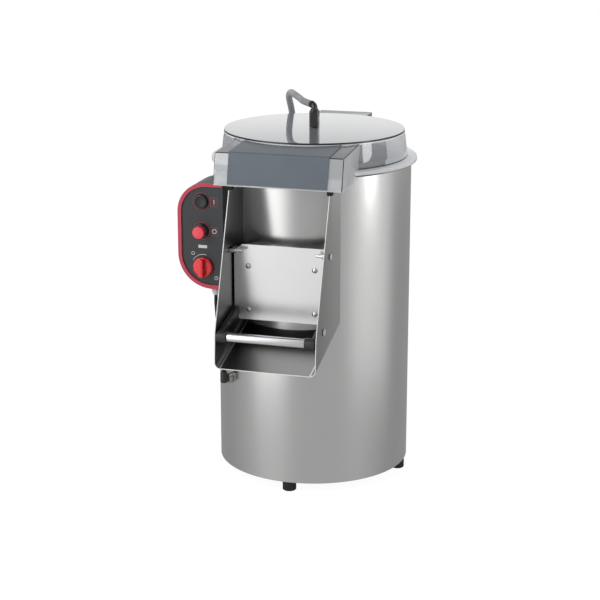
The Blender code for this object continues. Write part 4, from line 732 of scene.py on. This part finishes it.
# The slate-grey sheet over the hood, bent over its brow
hoodSheet = {"thickness": 0.002, "halfWidth": 0.099, "bend": 0.004, "clearance": 0.0024, "lift": 0.003}
raised = hoodSheet["lift"] / (topFront[1] - hoodFoot[1])
hem = (hoodFoot[0] + (topFront[0] - hoodFoot[0]) * raised, hoodFoot[1] + hoodSheet["lift"])
past = (2 * hem[0] - topFront[0], 2 * hem[1] - topFront[1])
inner, outer = [softCorners([offsetCorner(level, topBack, topFront, out), offsetCorner(topBack, topFront, hem, out),
                             offsetCorner(topFront, hem, past, out)], bend, 6, False)
                for out, bend in ((gap, hoodSheet["bend"] / 2), (gap + hoodSheet["thickness"], hoodSheet["bend"]))]
hoodPanel = carved(pushed(inner + outer[::-1], "X", -hoodSheet["halfWidth"], hoodSheet["halfWidth"]),
                   rod(discRadius + hoodSheet["clearance"], hoodBottom, lidTop + overrun, steps=lid["steps"]))
addPiece("hoodPanel", hoodPanel, slatePaint, "hood_panel", "slate_sheet", "lid", edge=0.0004)

sealLow, sealHigh = boxOf("lid_seal")
sealWidth = 0.0055
sealShape = lathed(stepped(sealLow.z, sealHigh.x, sealHigh.z, bore=sealHigh.x - sealWidth), steps=wideSteps)
addPiece("lidSeal", sealShape, blackRubber, "lid_seal", "black_rubber")
addPiece("hingeBracket", copyOf("lid_hinge_bracket"), shadedSteel, "lid_hinge_bracket", "satin_steel", edge=0.0012,
         edgeSteps=3)
hingePin = {"head": 0.006, "headHeight": 0.002, "shank": 0.004, "soft": 0.0006}
pinEnd, headRadius = hingeEnd - hingePin["headHeight"], hingePin["head"]
pinShape = lathed(stepped(-hingeEnd, headRadius, -pinEnd, hingePin["shank"], pinEnd, headRadius, hingeEnd),
                  hingePin["soft"], lidAxis, acrossWay, 32)
addPiece("hingePin", pinShape, polishedSteel, "lid_hinge_pin", "bright_steel")
print("lid made")

# Water: fitting with its elbow, nozzle, hose and valve
water = {"half": 0.009, "blockHeight": 0.0342, "chamfer": 0.002, "blockSoft": 0.0005, "groove": 0.0009,
         "grooveDepth": 0.0008, "groovePitch": 0.0045, "grooveFoot": 0.004, "grooveHead": 0.005, "base": 0.0085,
         "baseRise": 0.003, "baseSunk": 0.001, "elbowSunk": 0.002, "elbowRadius": 0.0065, "elbowRise": 0.011,
         "bend": 0.0072, "bendSteps": 10, "elbowLength": 0.011, "direction": Vector((-0.76, 0.65, 0.06)).normalized(),
         "hoseRadius": 0.007, "hoseSlack": 0.00005, "collar": 0.0074, "collarLength": 0.0035}
blockLow = lidTop + gap
blockTop = blockLow + water["blockHeight"]
half, chamfer, bend, direction = water["half"], water["chamfer"], water["bend"], water["direction"]
elbow = up * (blockTop + water["elbowRise"])
square = [(half - chamfer, -half), (half, chamfer - half), (half, half - chamfer), (half - chamfer, half),
          (chamfer - half, half), (-half, half - chamfer), (-half, chamfer - half), (chamfer - half, -half)]
grooves = [block((x - water["groove"], y - water["grooveDepth"], blockLow + water["grooveFoot"]),
                 (x + water["groove"], y + water["grooveDepth"], blockTop - water["grooveHead"]))
           for x in (-water["groovePitch"], 0.0, water["groovePitch"]) for y in (-half, half)]
body = carved(softened(pushed(square, "Z", blockLow, blockTop), water["blockSoft"]), *grooves)
out = up.cross(direction).normalized().cross(up)
bendTurn = up.angle(direction)
bendCentre = elbow - up * bend * sin(bendTurn) / (1 + cos(bendTurn)) + out * bend
elbowPath = [up * (blockTop - water["elbowSunk"]), *[
    bendCentre + bend * (up * sin(bendTurn * k / water["bendSteps"]) - out * cos(bendTurn * k / water["bendSteps"]))
    for k in range(water["bendSteps"] + 1)], elbow + direction * water["elbowLength"]]
collar = lathed(stepped(0, water["collar"], water["collarLength"]),
                at=elbow + direction * (water["elbowLength"] - water["collarLength"]), along=direction)
base = lathed(stepped(-water["baseSunk"], water["base"], water["baseRise"]), at=(0, 0, blockTop))
addPiece("waterFitting", joined(body, swept(elbowPath, water["elbowRadius"], 40), collar, base), glossPlastic,
         "water_fitting", "black_gloss", "lid")

nozzleLow, nozzleHigh = boxOf("spray_nozzle")
nozzle = {"mouth": 0.011, "body": 0.009, "bodyHeight": 0.006, "stem": 0.006, "soft": 0.0006}
neck, around, stem = discFoot - gap, nozzle["body"], nozzle["stem"]
nozzleShape = lathed([(0, nozzleLow.z), (nozzle["mouth"], nozzleLow.z), (around, neck - nozzle["bodyHeight"]),
                      (around, neck), (stem, neck), (stem, nozzleHigh.z), (0, nozzleHigh.z)], nozzle["soft"])
addPiece("sprayNozzle", nozzleShape, blackPlastic, "spray_nozzle", "black_moulding", "lid")

valve = {"angle": radians(24.7), "reach": 0.230, "outer": 0.245, "half": 0.017, "height": 0.026, "drop": 0.050,
         "soft": 0.0012, "sunk": 0.002, "ridge": 0.0012, "barb": 0.0065, "barbs": 4, "barbStart": 0.004,
         "barbPitch": 0.0038, "barbTaper": 0.0034, "barbLength": 0.0197, "thread": 0.010, "threadStart": 0.001,
         "threadPitch": 0.0020, "threadTurns": 12, "threadLength": 0.027}
valveTop = drumHigh.z - valve["drop"]
seat = Vector((-sin(valve["angle"]), cos(valve["angle"]), 0)) * valve["reach"] + up * valveTop
valveBlock = softened(block((-valve["half"], drumRadius / 2, valveTop - valve["height"]),
                            (valve["half"], valve["outer"], valveTop)), valve["soft"], 3)
bmesh.ops.rotate(valveBlock, verts=valveBlock.verts, cent=(0, 0, 0), matrix=Matrix.Rotation(valve["angle"], 3, "Z"))
valveBlock = carved(valveBlock, drumSpace())
core, sunk = valve["barb"] - valve["ridge"], valve["sunk"]
barbOutline = [(0, -sunk), (core, -sunk)]
for low in [valve["barbStart"] + k * valve["barbPitch"] for k in range(valve["barbs"])]:
    barbOutline += [(core, low), (valve["barb"], low), (core, low + valve["barbTaper"])]
barbOutline += [(core, valve["barbLength"]), (0, valve["barbLength"])]
core, pitch, threadTop = valve["thread"] - valve["ridge"], valve["threadPitch"], -valve["height"]
threadOutline = [(0, threadTop + sunk), (core, threadTop + sunk)]
for low in [threadTop - valve["threadStart"] - k * pitch for k in range(valve["threadTurns"])]:
    threadOutline += [(core, low), (valve["thread"], low - pitch / 2), (core, low - pitch)]
threadOutline += [(core, threadTop - valve["threadLength"]), (0, threadTop - valve["threadLength"])]
addPiece("waterValve", joined(valveBlock, turned(barbOutline, seat, steps=40), turned(threadOutline, seat, steps=48)),
         blackPlastic, "water_valve", "black_moulding")

hoseStart = elbow + direction * (water["elbowLength"] + 2 * gap)
hoseEnd = seat + up * (valve["barbLength"] + 2 * gap)
# The hose's own route, over the back of the lid and down to the valve
overLid = [(-0.137, 0.124, 0.768), (-0.199, 0.217, 0.806), (-0.273, 0.326, 0.846), (-0.345, 0.452, 0.843),
           (-0.397, 0.565, 0.702), (-0.435, 0.696, 0.475), (-0.460, 0.835, 0.132), (-0.470, 0.926, -0.254),
           (-0.450, 0.939, -0.730), (-0.428, 0.922, -1.127)]
hoseRoute = [hoseStart, hoseStart + direction * water["hoseRadius"],
             *[(x * valve["reach"], y * valve["reach"], lidTop + rise * lid["height"]) for x, y, rise in overLid],
             hoseEnd + up * water["hoseRadius"], hoseEnd]
hoseShape = swept(smoothRoute(hoseRoute), water["hoseRadius"] - water["hoseSlack"], 32)
hose = addPiece("waterHose", hoseShape, hosePlastic, "water_hose", "hose_grey")
hose.parent = None
del hose["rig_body"]
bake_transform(hose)
print("water made")

# Outlet neck, door with its gasket, knuckles and screws
addPiece("outletNeck", copyOf("outlet_neck"), shadedSteel, "outlet_neck", "satin_steel", edge=0.0004)
addPiece("doorGasket", copyOf("door_gasket"), blackRubber, "door_gasket", "black_rubber", "door", edge=0.0005)
addPiece("doorPlate", copyOf("door_plate"), litSteel, "door_plate", "satin_steel", "door", edge=0.00035)

screwLow, screwHigh = boxOf("door_screw_1")
screw = {"spread": 0.134, "span": 0.088, "shank": 0.0025, "head": 0.0055, "rise": 0.0025, "socket": 0.0016,
         "rim": 0.0004, "lip": 0.0001, "socketFloor": 0.0008, "dome": 0.0075, "domeAngle": 0.80}
plateFront = screwLow.y + screw["rise"] + gap
shankFoot, socketFloor = plateFront - screwHigh.y, gap + screw["socketFloor"]
dome = arc((0, gap + screw["rise"] - screw["dome"]), screw["dome"], pi / 2 - screw["domeAngle"], pi / 2, 8)
screwShape = turned([(0, shankFoot), (screw["shank"], shankFoot), (screw["shank"], gap), (screw["head"], gap),
                     (screw["head"], gap + screw["rim"]), *dome[:-1], (screw["socket"], dome[-1][1] - screw["lip"]),
                     (screw["socket"], socketFloor), (0, socketFloor)], steps=36)
screws = grown(gridTree, Piece=screwShape, Size_X=screw["spread"], Size_Y=screw["span"], Finish=polishedSteel)
stand(screws, (0, plateFront, (screwLow.z + boxOf("door_screw_3")[1].z) / 2), frontWay)
addPiece("doorScrews", screws, polishedSteel, "door_screw_1 door_screw_2 door_screw_3 door_screw_4", "bright_steel",
         "door")

# Chute, one folded sheet, its pins and the hood's rubber stops
chute = {"halfWidth": 0.1007, "sheet": 0.0015, "bend": 0.012, "bendSteps": 12, "topReach": 0.252, "kneeReach": 0.346,
         "kneeHeight": 0.373, "lipReach": 0.351, "lipHeight": 0.302, "rootReach": 0.169, "rootHeight": 0.350,
         "handleHole": 0.0043, "doorHole": 0.0033}
chuteLow, chuteHigh = boxOf("discharge_chute")
slope = (chute["rootHeight"] - chute["lipHeight"]) / (chute["lipReach"] - chute["rootReach"])
back, front = -chute["rootReach"] + chute["bend"] * 2, -chute["lipReach"]
rise = chute["rootHeight"] + slope * (back + chute["rootReach"])
tall = rise + (chuteHigh.z - chuteLow.z) * 2
outline = []
for inset, order in ((0, 1), (chute["sheet"], -1)):
    wide, bend = chute["halfWidth"] - inset, chute["bend"] - inset
    outline += [(-wide, tall), *arc((bend - wide, rise + chute["bend"]), bend, pi, 3 * pi / 2, chute["bendSteps"]),
                *arc((wide - bend, rise + chute["bend"]), bend, -pi / 2, 0, chute["bendSteps"]), (wide, tall)][::order]
wing = chute["halfWidth"] + overrun
profile = pushed([(back, chuteHigh.z), (-chute["topReach"], chuteHigh.z), (-chute["kneeReach"], chute["kneeHeight"]),
                  (front, chute["lipHeight"]), (front, chute["lipHeight"] - overrun),
                  (back, chute["lipHeight"] - overrun)], "X", -wing, wing)
doorAxis, handleAxis = crossAxis("door_hinge_pin_left"), crossAxis("handle_pivot_left")
chuteShape = carved(carved(pushed(outline, "Y", back, front, slope * (front - back)), profile, operation="INTERSECT"),
                    drumSpace(), rod(chute["handleHole"], -wing, wing, handleAxis, acrossWay),
                    rod(chute["doorHole"], -wing, wing, doorAxis, acrossWay))
# The narrow faces along the front are the sheet's cut edge, with its painted highlight.
for face in chuteShape.faces:
    lengths = [e.calc_length() for e in face.edges]
    if min(lengths) < chute["sheet"] * 1.1 and max(lengths) > 0.02 and abs(face.normal.x) < 0.1 and face.normal.y < 0.1:
        face.material_index = 1
addPiece("dischargeChute", chuteShape, [shadedSteel, edgeHighlightSteel], "discharge_chute", "satin_steel", edge=0.0004)

# Each pin's node, axis, shank and head
pins = {"doorPin": ("door_hinge_pin_", doorAxis, 0.003, 0.006),
        "handlePivot": ("handle_pivot_", handleAxis, 0.004, 0.007)}
pinSoft = 0.0009
for side, sign in (("left", -1), ("right", 1)):
    for name, (node, axis, shank, head) in pins.items():
        inner, outerEnd = sorted(abs(corner.x) for corner in boxOf(node + side))
        pin = lathed(stepped(inner, shank, chute["halfWidth"] + gap, head, outerEnd), pinSoft, axis, (sign, 0, 0),
                     softSteps=4)
        addPiece(name + side.title(), pin, polishedSteel, node + side, "bright_steel")
    addPiece("hoodStop" + side.title(), copyOf("hood_bumper_" + side), blackRubber, "hood_bumper_" + side,
             "black_rubber", edge=0.0008)
print("chute made")

# Handle: moulded arms with round ends, and the grip tube
handle = {"armDepth": 0.016, "armWidth": 0.009, "tilt": radians(12), "back": 0.0637, "gripRadius": 0.009, "wall": 0.002,
          "boss": 0.0115, "plug": 0.012, "armSoft": 0.0010, "bossSoft": 0.0014, "gripSoft": 0.0005}
gripLow, gripHigh = boxOf("grip_tube")
gripCentre = crossAxis("grip_tube")
armEnd = boxOf("handle_arm_right")[1].x
half, gripBore = handle["armDepth"] / 2, handle["gripRadius"] - handle["wall"]
rear = Vector((cos(handle["tilt"]), sin(handle["tilt"])))
pivot, grip = handleAxis.yz, gripCentre.yz
tail = pivot + rear * (handle["back"] - half)
fore = (pivot - grip).normalized()
rearSide, foreSide = Vector((-rear.y, rear.x)), Vector((-fore.y, fore.x))
knee = (rearSide + foreSide) / 2 * half
armOutline = [tuple(pivot - knee), *arc(tail, half, handle["tilt"] - pi / 2, handle["tilt"] + pi / 2, 12),
              tuple(pivot + knee), tuple(grip + foreSide * half), tuple(grip - foreSide * half)]
for side, sign in (("left", -1), ("right", 1)):
    ends = sorted((sign * (armEnd - handle["armWidth"]), sign * armEnd))
    arm = softened(pushed(armOutline, "X", *ends), handle["armSoft"], 3)
    boss = lathed(stepped(gripHigh.x - handle["plug"], gripBore - gap, gripHigh.x + gap, handle["boss"], armEnd),
                  handle["bossSoft"], gripCentre, (sign, 0, 0), 56, 4)
    arm = carved(arm, rod(chute["handleHole"], 0, chute["halfWidth"], handleAxis, (sign, 0, 0)))
    addPiece("handleArm" + side.title(), joined(arm, boss), blackPlastic, "handle_arm_" + side, "black_moulding",
             "handle")
tube = lathed(stepped(gripLow.x, handle["gripRadius"], gripHigh.x, bore=gripBore), handle["gripSoft"], gripCentre,
              acrossWay, 64)
addPiece("gripTube", tube, anodisedAluminium, "grip_tube", "aluminium", "handle")
print("handle made")

# Control box: housing, face, red frame, buttons, knob and printed marks
box = {"topRadius": 0.060, "bottomRadius": 0.070, "wall": 0.003, "pocket": 0.037, "trim": 0.008, "steps": 20,
       "buttonHole": 0.0124, "knobHole": 0.0033}
boxLow, boxHigh = boxOf("control_box")
faceLow, faceHigh = boxOf("panel_face")
trimLow, trimHigh = boxOf("panel_trim")


def boxOutline(inset, right=boxHigh.x):
    top, bottom, steps = box["topRadius"], box["bottomRadius"], box["steps"]
    return [(right, boxHigh.z - inset),
            *arc((boxLow.x + top, boxHigh.z - top), top - inset, pi / 2, pi, steps),
            *arc((boxLow.x + bottom, boxLow.z + bottom), bottom - inset, pi, 3 * pi / 2, steps),
            (right, boxLow.z + inset)]


housing = carved(pushed(boxOutline(0), "Y", boxLow.y, boxHigh.y),
                 pushed(boxOutline(box["wall"], boxHigh.x - box["wall"]), "Y", boxLow.y - overrun,
                        boxLow.y + box["pocket"]), drumSpace())
addPiece("controlHousing", housing, greyPlastic, "control_box", "grey_plastic", edge=0.0010, edgeSteps=3)

buttonX, startZ, stopZ = middleOf("start_button").x, middleOf("start_button").z, middleOf("stop_button").z
knobX, knobZ = middleOf("timer_knob").xz
faceShape = carved(pushed(boxOutline(0), "Y", faceLow.y, faceHigh.y),
                   *[rod(radius, -0.01, 0.01, (x, faceLow.y, z), frontWay) for radius, x, z in (
                       (box["buttonHole"], buttonX, startZ), (box["buttonHole"], buttonX, stopZ),
                       (box["knobHole"], knobX, knobZ))])
addPiece("panelFace", faceShape, panelFoil, "panel_face", "charcoal_panel", edge=0.0003)
trimShape = pushed(boxOutline(0) + boxOutline(box["trim"])[::-1], "Y", trimLow.y, trimHigh.y)
addPiece("panelTrim", trimShape, trimPlastic, "panel_trim", "red_trim", edge=0.0008, edgeSteps=3)

button = {"barrel": 0.0121, "bore": 0.0114, "depth": 0.015, "bezel": 0.015, "bezelHeight": 0.006, "bezelSide": 0.6,
          "bezelSlope": 0.0015, "cap": 0.011, "capEdge": 0.0008, "hollow": 0.0010, "stem": 0.013, "stopCap": 0.012,
          "stopStart": 0.0105, "stopHeight": 0.022, "bezelSoft": 0.0010, "stopSoft": 0.0018}
barrel, cap, bezelTop = button["barrel"], button["cap"], button["bezelHeight"]
bezelOutline = [(button["bore"], -button["depth"]), (barrel, -button["depth"]), (barrel, gap),
                *softCorners([(barrel, gap), (button["bezel"], gap), (button["bezel"], bezelTop * button["bezelSide"]),
                              (button["bezel"] - button["bezelSlope"], bezelTop), (button["bore"], bezelTop)],
                             button["bezelSoft"], 4, False)[1:]]
capFoot = [(0, -button["stem"]), (cap, -button["stem"])]
startOutline = [*capFoot, (cap, bezelTop - button["capEdge"]), (cap - button["capEdge"], bezelTop),
                *[(r * 0.001, bezelTop - button["hollow"] * (1 - (r / 10) ** 2)) for r in range(9, -1, -1)]]
stopCap, stopFoot, stopTop = button["stopCap"], button["stopStart"], button["stopHeight"]
stopOutline = [*capFoot, (cap, stopFoot), *softCorners([(cap, stopFoot), (stopCap, stopFoot), (stopCap, stopTop),
                                                        (0, stopTop)], button["stopSoft"], 5, False)[1:]]
for name, z, outline, finish, slot in (("start", startZ, startOutline, blackPlastic, "black_moulding"),
                                       ("stop", stopZ, stopOutline, litCapPlastic, "red_moulding")):
    at = (buttonX, faceLow.y, z)
    addPiece(name + "Bezel", turned(bezelOutline, at, frontWay, 72), glossPlastic, name + "_bezel", "black_moulding")
    addPiece(name + "Button", turned(outline, at, frontWay), finish, name + "_button", slot, name + "_button")

# Knob: a round skirt with grip ribs and a bar across it
knob = {"radius": 0.0205, "skirt": 0.008, "skirtEdge": 0.001, "skirtSlope": 0.003, "height": 0.020, "barWidth": 0.011,
        "barInset": 0.0022, "barCorner": 0.003, "barSoft": 0.0049, "shaft": 0.003, "shaftLength": 0.010, "ribs": 24,
        "rib": 0.0010, "ribDrop": 0.0014}
knobAt = Vector((knobX, faceLow.y, knobZ))
ribRing, rimTop, rimSide = knob["radius"] - knob["rib"], knob["skirt"], knob["skirt"] - knob["skirtEdge"]
skirt = lathed([(0, -knob["shaftLength"]), (knob["shaft"], -knob["shaftLength"]), (knob["shaft"], 2 * gap),
                (ribRing, 2 * gap), (ribRing, rimSide), (knob["radius"] - knob["skirtSlope"], rimTop), (0, rimTop)],
               steps=96)
ribs = ringOf(rod(knob["rib"], 3 * gap, rimTop - knob["ribDrop"], steps=10), knob["ribs"], ribRing, redPlastic)
reach, halfBar = knob["radius"] - knob["barInset"], knob["barWidth"] / 2
barOutline = softCorners([(-halfBar, -reach), (halfBar, -reach), (halfBar, reach), (-halfBar, reach)],
                         knob["barCorner"], 5)
barShape = softened(pushed(barOutline, "Z", rimSide, knob["height"]), knob["barSoft"], 5)
addPiece("timerKnob", stand(joined(skirt, ribs, barShape), knobAt, frontWay), redPlastic, "timer_knob", "red_moulding",
         "timer_knob")

# Printed marks, a tenth of a millimetre proud of the foil: rings and boxes by the buttons, ticks and an arc by the knob
marks = {"rise": 0.0001, "line": 0.0009, "ring": 0.0177, "box": 0.0070, "boxRise": 0.0086, "bar": 0.0014,
         "sign": 0.0096, "boxX": 0.0232, "tick": 0.0028, "ticks": 11, "tickStart": radians(60),
         "tickStep": radians(-27), "dial": 0.0245, "dialLine": 0.0010, "dialStart": radians(75),
         "dialTurn": radians(75), "plainBar": (0.002, 0.0045, 0.018, 0.006), "hand": (0.0265, -0.0205, 0.0030),
         "smallRings": ((-0.0215, 0.0265, 0.0036), (0.0265, -0.0215, 0.0040))}
line, boxX = marks["line"], buttonX + marks["boxX"] + marks["box"] / 2


def flatMark(outline):
    return pushed(outline, "Y", faceLow.y - marks["rise"], faceLow.y + marks["rise"])


# A ring in two halves, or part of one
def ringMark(x, z, radius, width, start=0.0, turn=pi, steps=32, parts=2):
    sectors = [(start + k * turn, start + (k + 1) * turn, steps) for k in range(parts)]
    return joined(*[flatMark(arc((x, z), radius, *sector) + arc((x, z), radius - width, *sector)[::-1])
                    for sector in sectors])


def barMark(x, z, width, height):
    left, right, low, high = x - width / 2, x + width / 2, z - height / 2, z + height / 2
    return flatMark([(left, low), (right, low), (right, high), (left, high)])


def frameMark(x, z, half, rise):
    return joined(barMark(x, z + rise, 2 * half, line), barMark(x, z - rise, 2 * half, line),
                  barMark(x - half, z, line, 2 * rise), barMark(x + half, z, line, 2 * rise))


redMarks = [mark for z in (startZ, stopZ) for mark in (
    ringMark(buttonX, z, marks["ring"], line), frameMark(boxX, z, marks["box"], marks["boxRise"]))]
barX, barZ, barWidth, barHeight = marks["plainBar"]
handX, handZ, handHeight = marks["hand"]
paleMarks = [barMark(boxX, startZ, marks["bar"], marks["sign"]), ringMark(boxX, stopZ, marks["sign"] / 2, marks["bar"]),
             barMark(buttonX + barX, (stopZ + knobZ) / 2 + barZ, barWidth, barHeight),
             *[ringMark(knobX + x, knobZ + z, radius, line) for x, z, radius in marks["smallRings"]],
             barMark(knobX + handX, knobZ + handZ, line, handHeight),
             ringMark(knobX, knobZ, marks["dial"] + marks["dialLine"], marks["dialLine"], marks["dialStart"],
                      marks["dialTurn"], 24, 1)]
tickShape = block((-marks["tick"] / 2, -line / 2, -marks["rise"]), (marks["tick"] / 2, line / 2, marks["rise"]))
ticks = ringOf(tickShape, marks["ticks"], marks["dial"], redInk, marks["tickStart"], marks["tickStep"])
stand(ticks, knobAt, frontWay)
addPiece("redPrint", joined(*redMarks, ticks), redInk, "", "red_trim")
addPiece("palePrint", joined(*paleMarks), paleInk, "", "charcoal_panel")
print("controls made")

# Glands and the motor's lead
boxGlandAt = middleOf("box_gland")
boxGlandAt.z = boxLow.z
boxNut = {"outline": [(0, -0.007), (0.005, -0.007), (0.005, gap), (0.009, gap), (0.009, 0.0035), (0.0082, 0.004),
                      (0.0082, 0.0085), (0.006, 0.017), (0, 0.017)],
          "length": 0.017, "ribs": 16, "rib": 0.0009, "ribTop": 0.0043, "ribFoot": 0.0084, "ribRing": 0.0080}
boxGland = lathed(boxNut["outline"], gland["soft"], boxGlandAt, -up, 48)
glandRibs = ringOf(rod(boxNut["rib"], boxNut["ribTop"], boxNut["ribFoot"], steps=8), boxNut["ribs"], boxNut["ribRing"],
                   glandPlastic)
addPiece("boxGland", joined(boxGland, stand(glandRibs, boxGlandAt, -up)), glandPlastic, "box_gland", "grey_plastic")

glandSeat = up * gland["height"]
glandEnd, nutEnd = drumRadius + gland["end"], drumRadius + gland["nut"]
threadShape = lathed(stepped(drumRadius - gland["nut"], gland["thread"], drumRadius + gap, gland["collar"], nutEnd,
                             gland["neck"], glandEnd), gland["soft"], glandSeat, glandWay, 48)
mouth = glandSeat + glandWay * glandEnd
riser = lathed(gland["riser"], gland["riserSoft"], mouth)
for face in threadShape.faces:
    if (face.calc_center_median() - glandSeat).dot(glandWay) < nutEnd + gap:
        face.material_index = 1
addPiece("bodyGland", joined(threadShape, riser), [blackPlastic, nickelBrass], "body_gland", "black_moulding")

leadRadius = 0.0035
leadLow = mouth + up * (gland["rise"] + 2 * gap)
leadHigh = boxGlandAt - up * (boxNut["length"] + 2 * gap)
run = leadHigh - leadLow
aside, upwards = Vector((run.x, run.y, 0)), up * run.z
# The lead climbs straight, leans over in its middle and climbs straight again.
leadRoute = [leadLow, *[leadLow + upwards * height / 8 + aside * share
                        for height, share in ((1, 0), (3, 1 / 4), (5, 3 / 4), (7, 1))], leadHigh]
addPiece("motorLead", swept(smoothRoute(leadRoute), leadRadius, 20), blackRubber, "motor_lead", "black_rubber")

# Drain pipe, swept along its bend with a true bore
pipe = {"radius": 0.024, "wall": 0.002, "bend": 0.040, "steps": 14, "sides": 56}
pipePath = [Vector((0, drum["drainOffset"], pipeHigh.z)), *[
    Vector((0, drum["drainOffset"] + pipe["bend"] * (1 + cos(a)), drainHeight + pipe["bend"] * (1 + sin(a))))
    for a in [pi + pi / 2 * k / pipe["steps"] for k in range(pipe["steps"] + 1)]],
    Vector((0, pipeHigh.y, drainHeight))]
borePath = [pipePath[0] + up * overrun, *pipePath[1:-1], pipePath[-1] + Vector((0, overrun, 0))]
pipeShape = carved(swept(pipePath, pipe["radius"], pipe["sides"]),
                   swept(borePath, pipe["radius"] - pipe["wall"], pipe["sides"]))
addPiece("drainPipe", pipeShape, pipePlastic, "drain_pipe", "grey_plastic", edge=0.0004)

# What stays as the CAD made it, inside the drum
for names, finish in (("bearing_housing driven_pulley motor_pulley motor", castAluminium),
                      ("drive_shaft motor_shaft bearing_upper bearing_lower", polishedSteel),
                      ("shaft_seal drive_belt", blackRubber)):
    for node in names.split():
        for place in frame["nodes"][node].material_slots:
            place.material = finish
print("drive painted")

# Floor, world, lamps and camera
floor = {"size": 6.0, "glow": 1.10, "share": 0.86}
floorPaint, tree, shader = newMaterial("studio_floor_paint", color="#F2F2F2", roughness=0.9)
glow = addNode(tree, "ShaderNodeEmission", {"Color": (1, 1, 1, 1), "Strength": floor["glow"]})
mixOut(tree, mathNode(tree, "MULTIPLY", seenRay(tree), floor["share"]), shader, glow)
floorShape = bmesh.new()
bmesh.ops.create_grid(floorShape, x_segments=1, y_segments=1, size=floor["size"])
studioFloor = looseObject("studioFloor", floorShape)
studioFloor.data.materials.append(floorPaint)
studioFloor.visible_glossy = False

# The studio round the machine: pale behind, greyer overhead and low down, with a soft window on each side.
# A window has its way, its light, where its lobe starts and ends, and what is left of it below the fade. The pairs say
# between which heights, or turns to the back, one light runs over into the next.
studio = {"lowFront": 0.53, "lowBack": 0.37, "level": 0.46, "behind": 0.70, "horizon": 1.05, "ceiling": 0.25,
          "fade": (-0.442, -0.322), "horizonLine": (0.160, 0.182), "backTurn": (0.2, 0.9), "lowTurn": (-0.5, 0.5),
          "lowRise": (-0.10, 0.08), "topRise": (0.45, 0.75),
          "windows": (((-0.636, -0.772, 0), 1.30, 0.87, 0.995, 0.10), ((0.9997, -0.026, 0), 0.47, 0.79, 0.985, 0.10)),
          "soft": {"way": (0.9945, -0.1045, 0), "light": 6.5, "from": 0.9915, "to": 0.9940, "low": 0.0, "high": 0.055}}
world = bpy.data.worlds.new("studio")
bpy.context.scene.world = world
world.use_nodes = True
tree = world.node_tree
place = addNode(tree, "ShaderNodeTexCoord")
parts = addNode(tree, "ShaderNodeSeparateXYZ", {0: place.outputs["Generated"]}).outputs
height = parts["Z"]
flat = axesNode(tree, X=parts["X"], Y=parts["Y"])
heading = addNode(tree, "ShaderNodeVectorMath", {0: flat}, operation="NORMALIZE").outputs[0]


def towards(way):
    return addNode(tree, "ShaderNodeVectorMath", {0: heading, 1: way}, operation="DOT_PRODUCT").outputs["Value"]


behind = towards(backWay)
horizon = rampNode(tree, height, *studio["horizonLine"], studio["horizon"], studio["behind"])
wallLight = rampNode(tree, behind, *studio["backTurn"], studio["level"], horizon)
lowLight = rampNode(tree, behind, *studio["lowTurn"], studio["lowFront"], studio["lowBack"])
sideLight = rampNode(tree, height, *studio["lowRise"], lowLight, wallLight)
light = rampNode(tree, height, *studio["topRise"], sideLight, studio["ceiling"])
for way, strength, lobeFrom, lobeTo, least in studio["windows"]:
    lobe = rampNode(tree, towards(way), lobeFrom, lobeTo, 0.0, strength)
    fade = rampNode(tree, height, *studio["fade"], least, 1.0)
    light = mathNode(tree, "ADD", light, mathNode(tree, "MULTIPLY", lobe, fade))
# A sharp-edged softbox on the right, which the lid's skirt mirrors
soft = studio["soft"]
across = rampNode(tree, towards(soft["way"]), soft["from"], soft["to"], 0.0, soft["light"], "LINEAR")
band = mathNode(tree, "MULTIPLY", mathNode(tree, "GREATER_THAN", height, soft["low"]),
                mathNode(tree, "LESS_THAN", height, soft["high"]))
light = mathNode(tree, "MULTIPLY_ADD", across, band, light)
level = addNode(tree, "ShaderNodeMix", {"Factor": seenRay(tree), "A": light, "B": 1.0}, data_type="FLOAT")
tree.links.new(level.outputs[0], tree.nodes["Background"].inputs["Strength"])
tree.nodes["Background"].inputs["Color"].default_value = (1, 1, 1, 1)


# Sets a lamp or camera in its place, facing a way.
def placed(name, data, place, way):
    made = bpy.data.objects.new(name, data)
    made.location, made.rotation_mode = place, "QUATERNION"
    made.rotation_quaternion = way.to_track_quat("-Z", "Y")
    bpy.context.collection.objects.link(made)
    return made


lamps = {"key": {"place": (-1.6, -2.2, 1.9), "size": 1.2, "power": 12},
         "fill": {"place": (2.4, -1.2, 1.7), "size": 1.2, "power": 6}}
aim = drumAxis + up * (drumLow.z + drumHigh.z) / 2
for name, lamp in lamps.items():
    data = bpy.data.lights.new(name, "AREA")
    data.size, data.energy = lamp["size"], lamp["power"]
    placed(name, data, lamp["place"], aim - Vector(lamp["place"]))

shot = {"place": (0.8860, -3.1286, 1.2776), "heading": 0.2799, "drop": 0.2751, "lens": 97.99, "sensor": 36.0}
cameraData = bpy.data.cameras.new("camera")
cameraData.lens, cameraData.sensor_width = shot["lens"], shot["sensor"]
bpy.context.scene.camera = placed("camera", cameraData, shot["place"], Vector((
    -sin(shot["heading"]) * cos(shot["drop"]), cos(shot["heading"]) * cos(shot["drop"]), -sin(shot["drop"]))))
bpy.context.scene.view_settings.view_transform = "Standard"

print("scene ready")
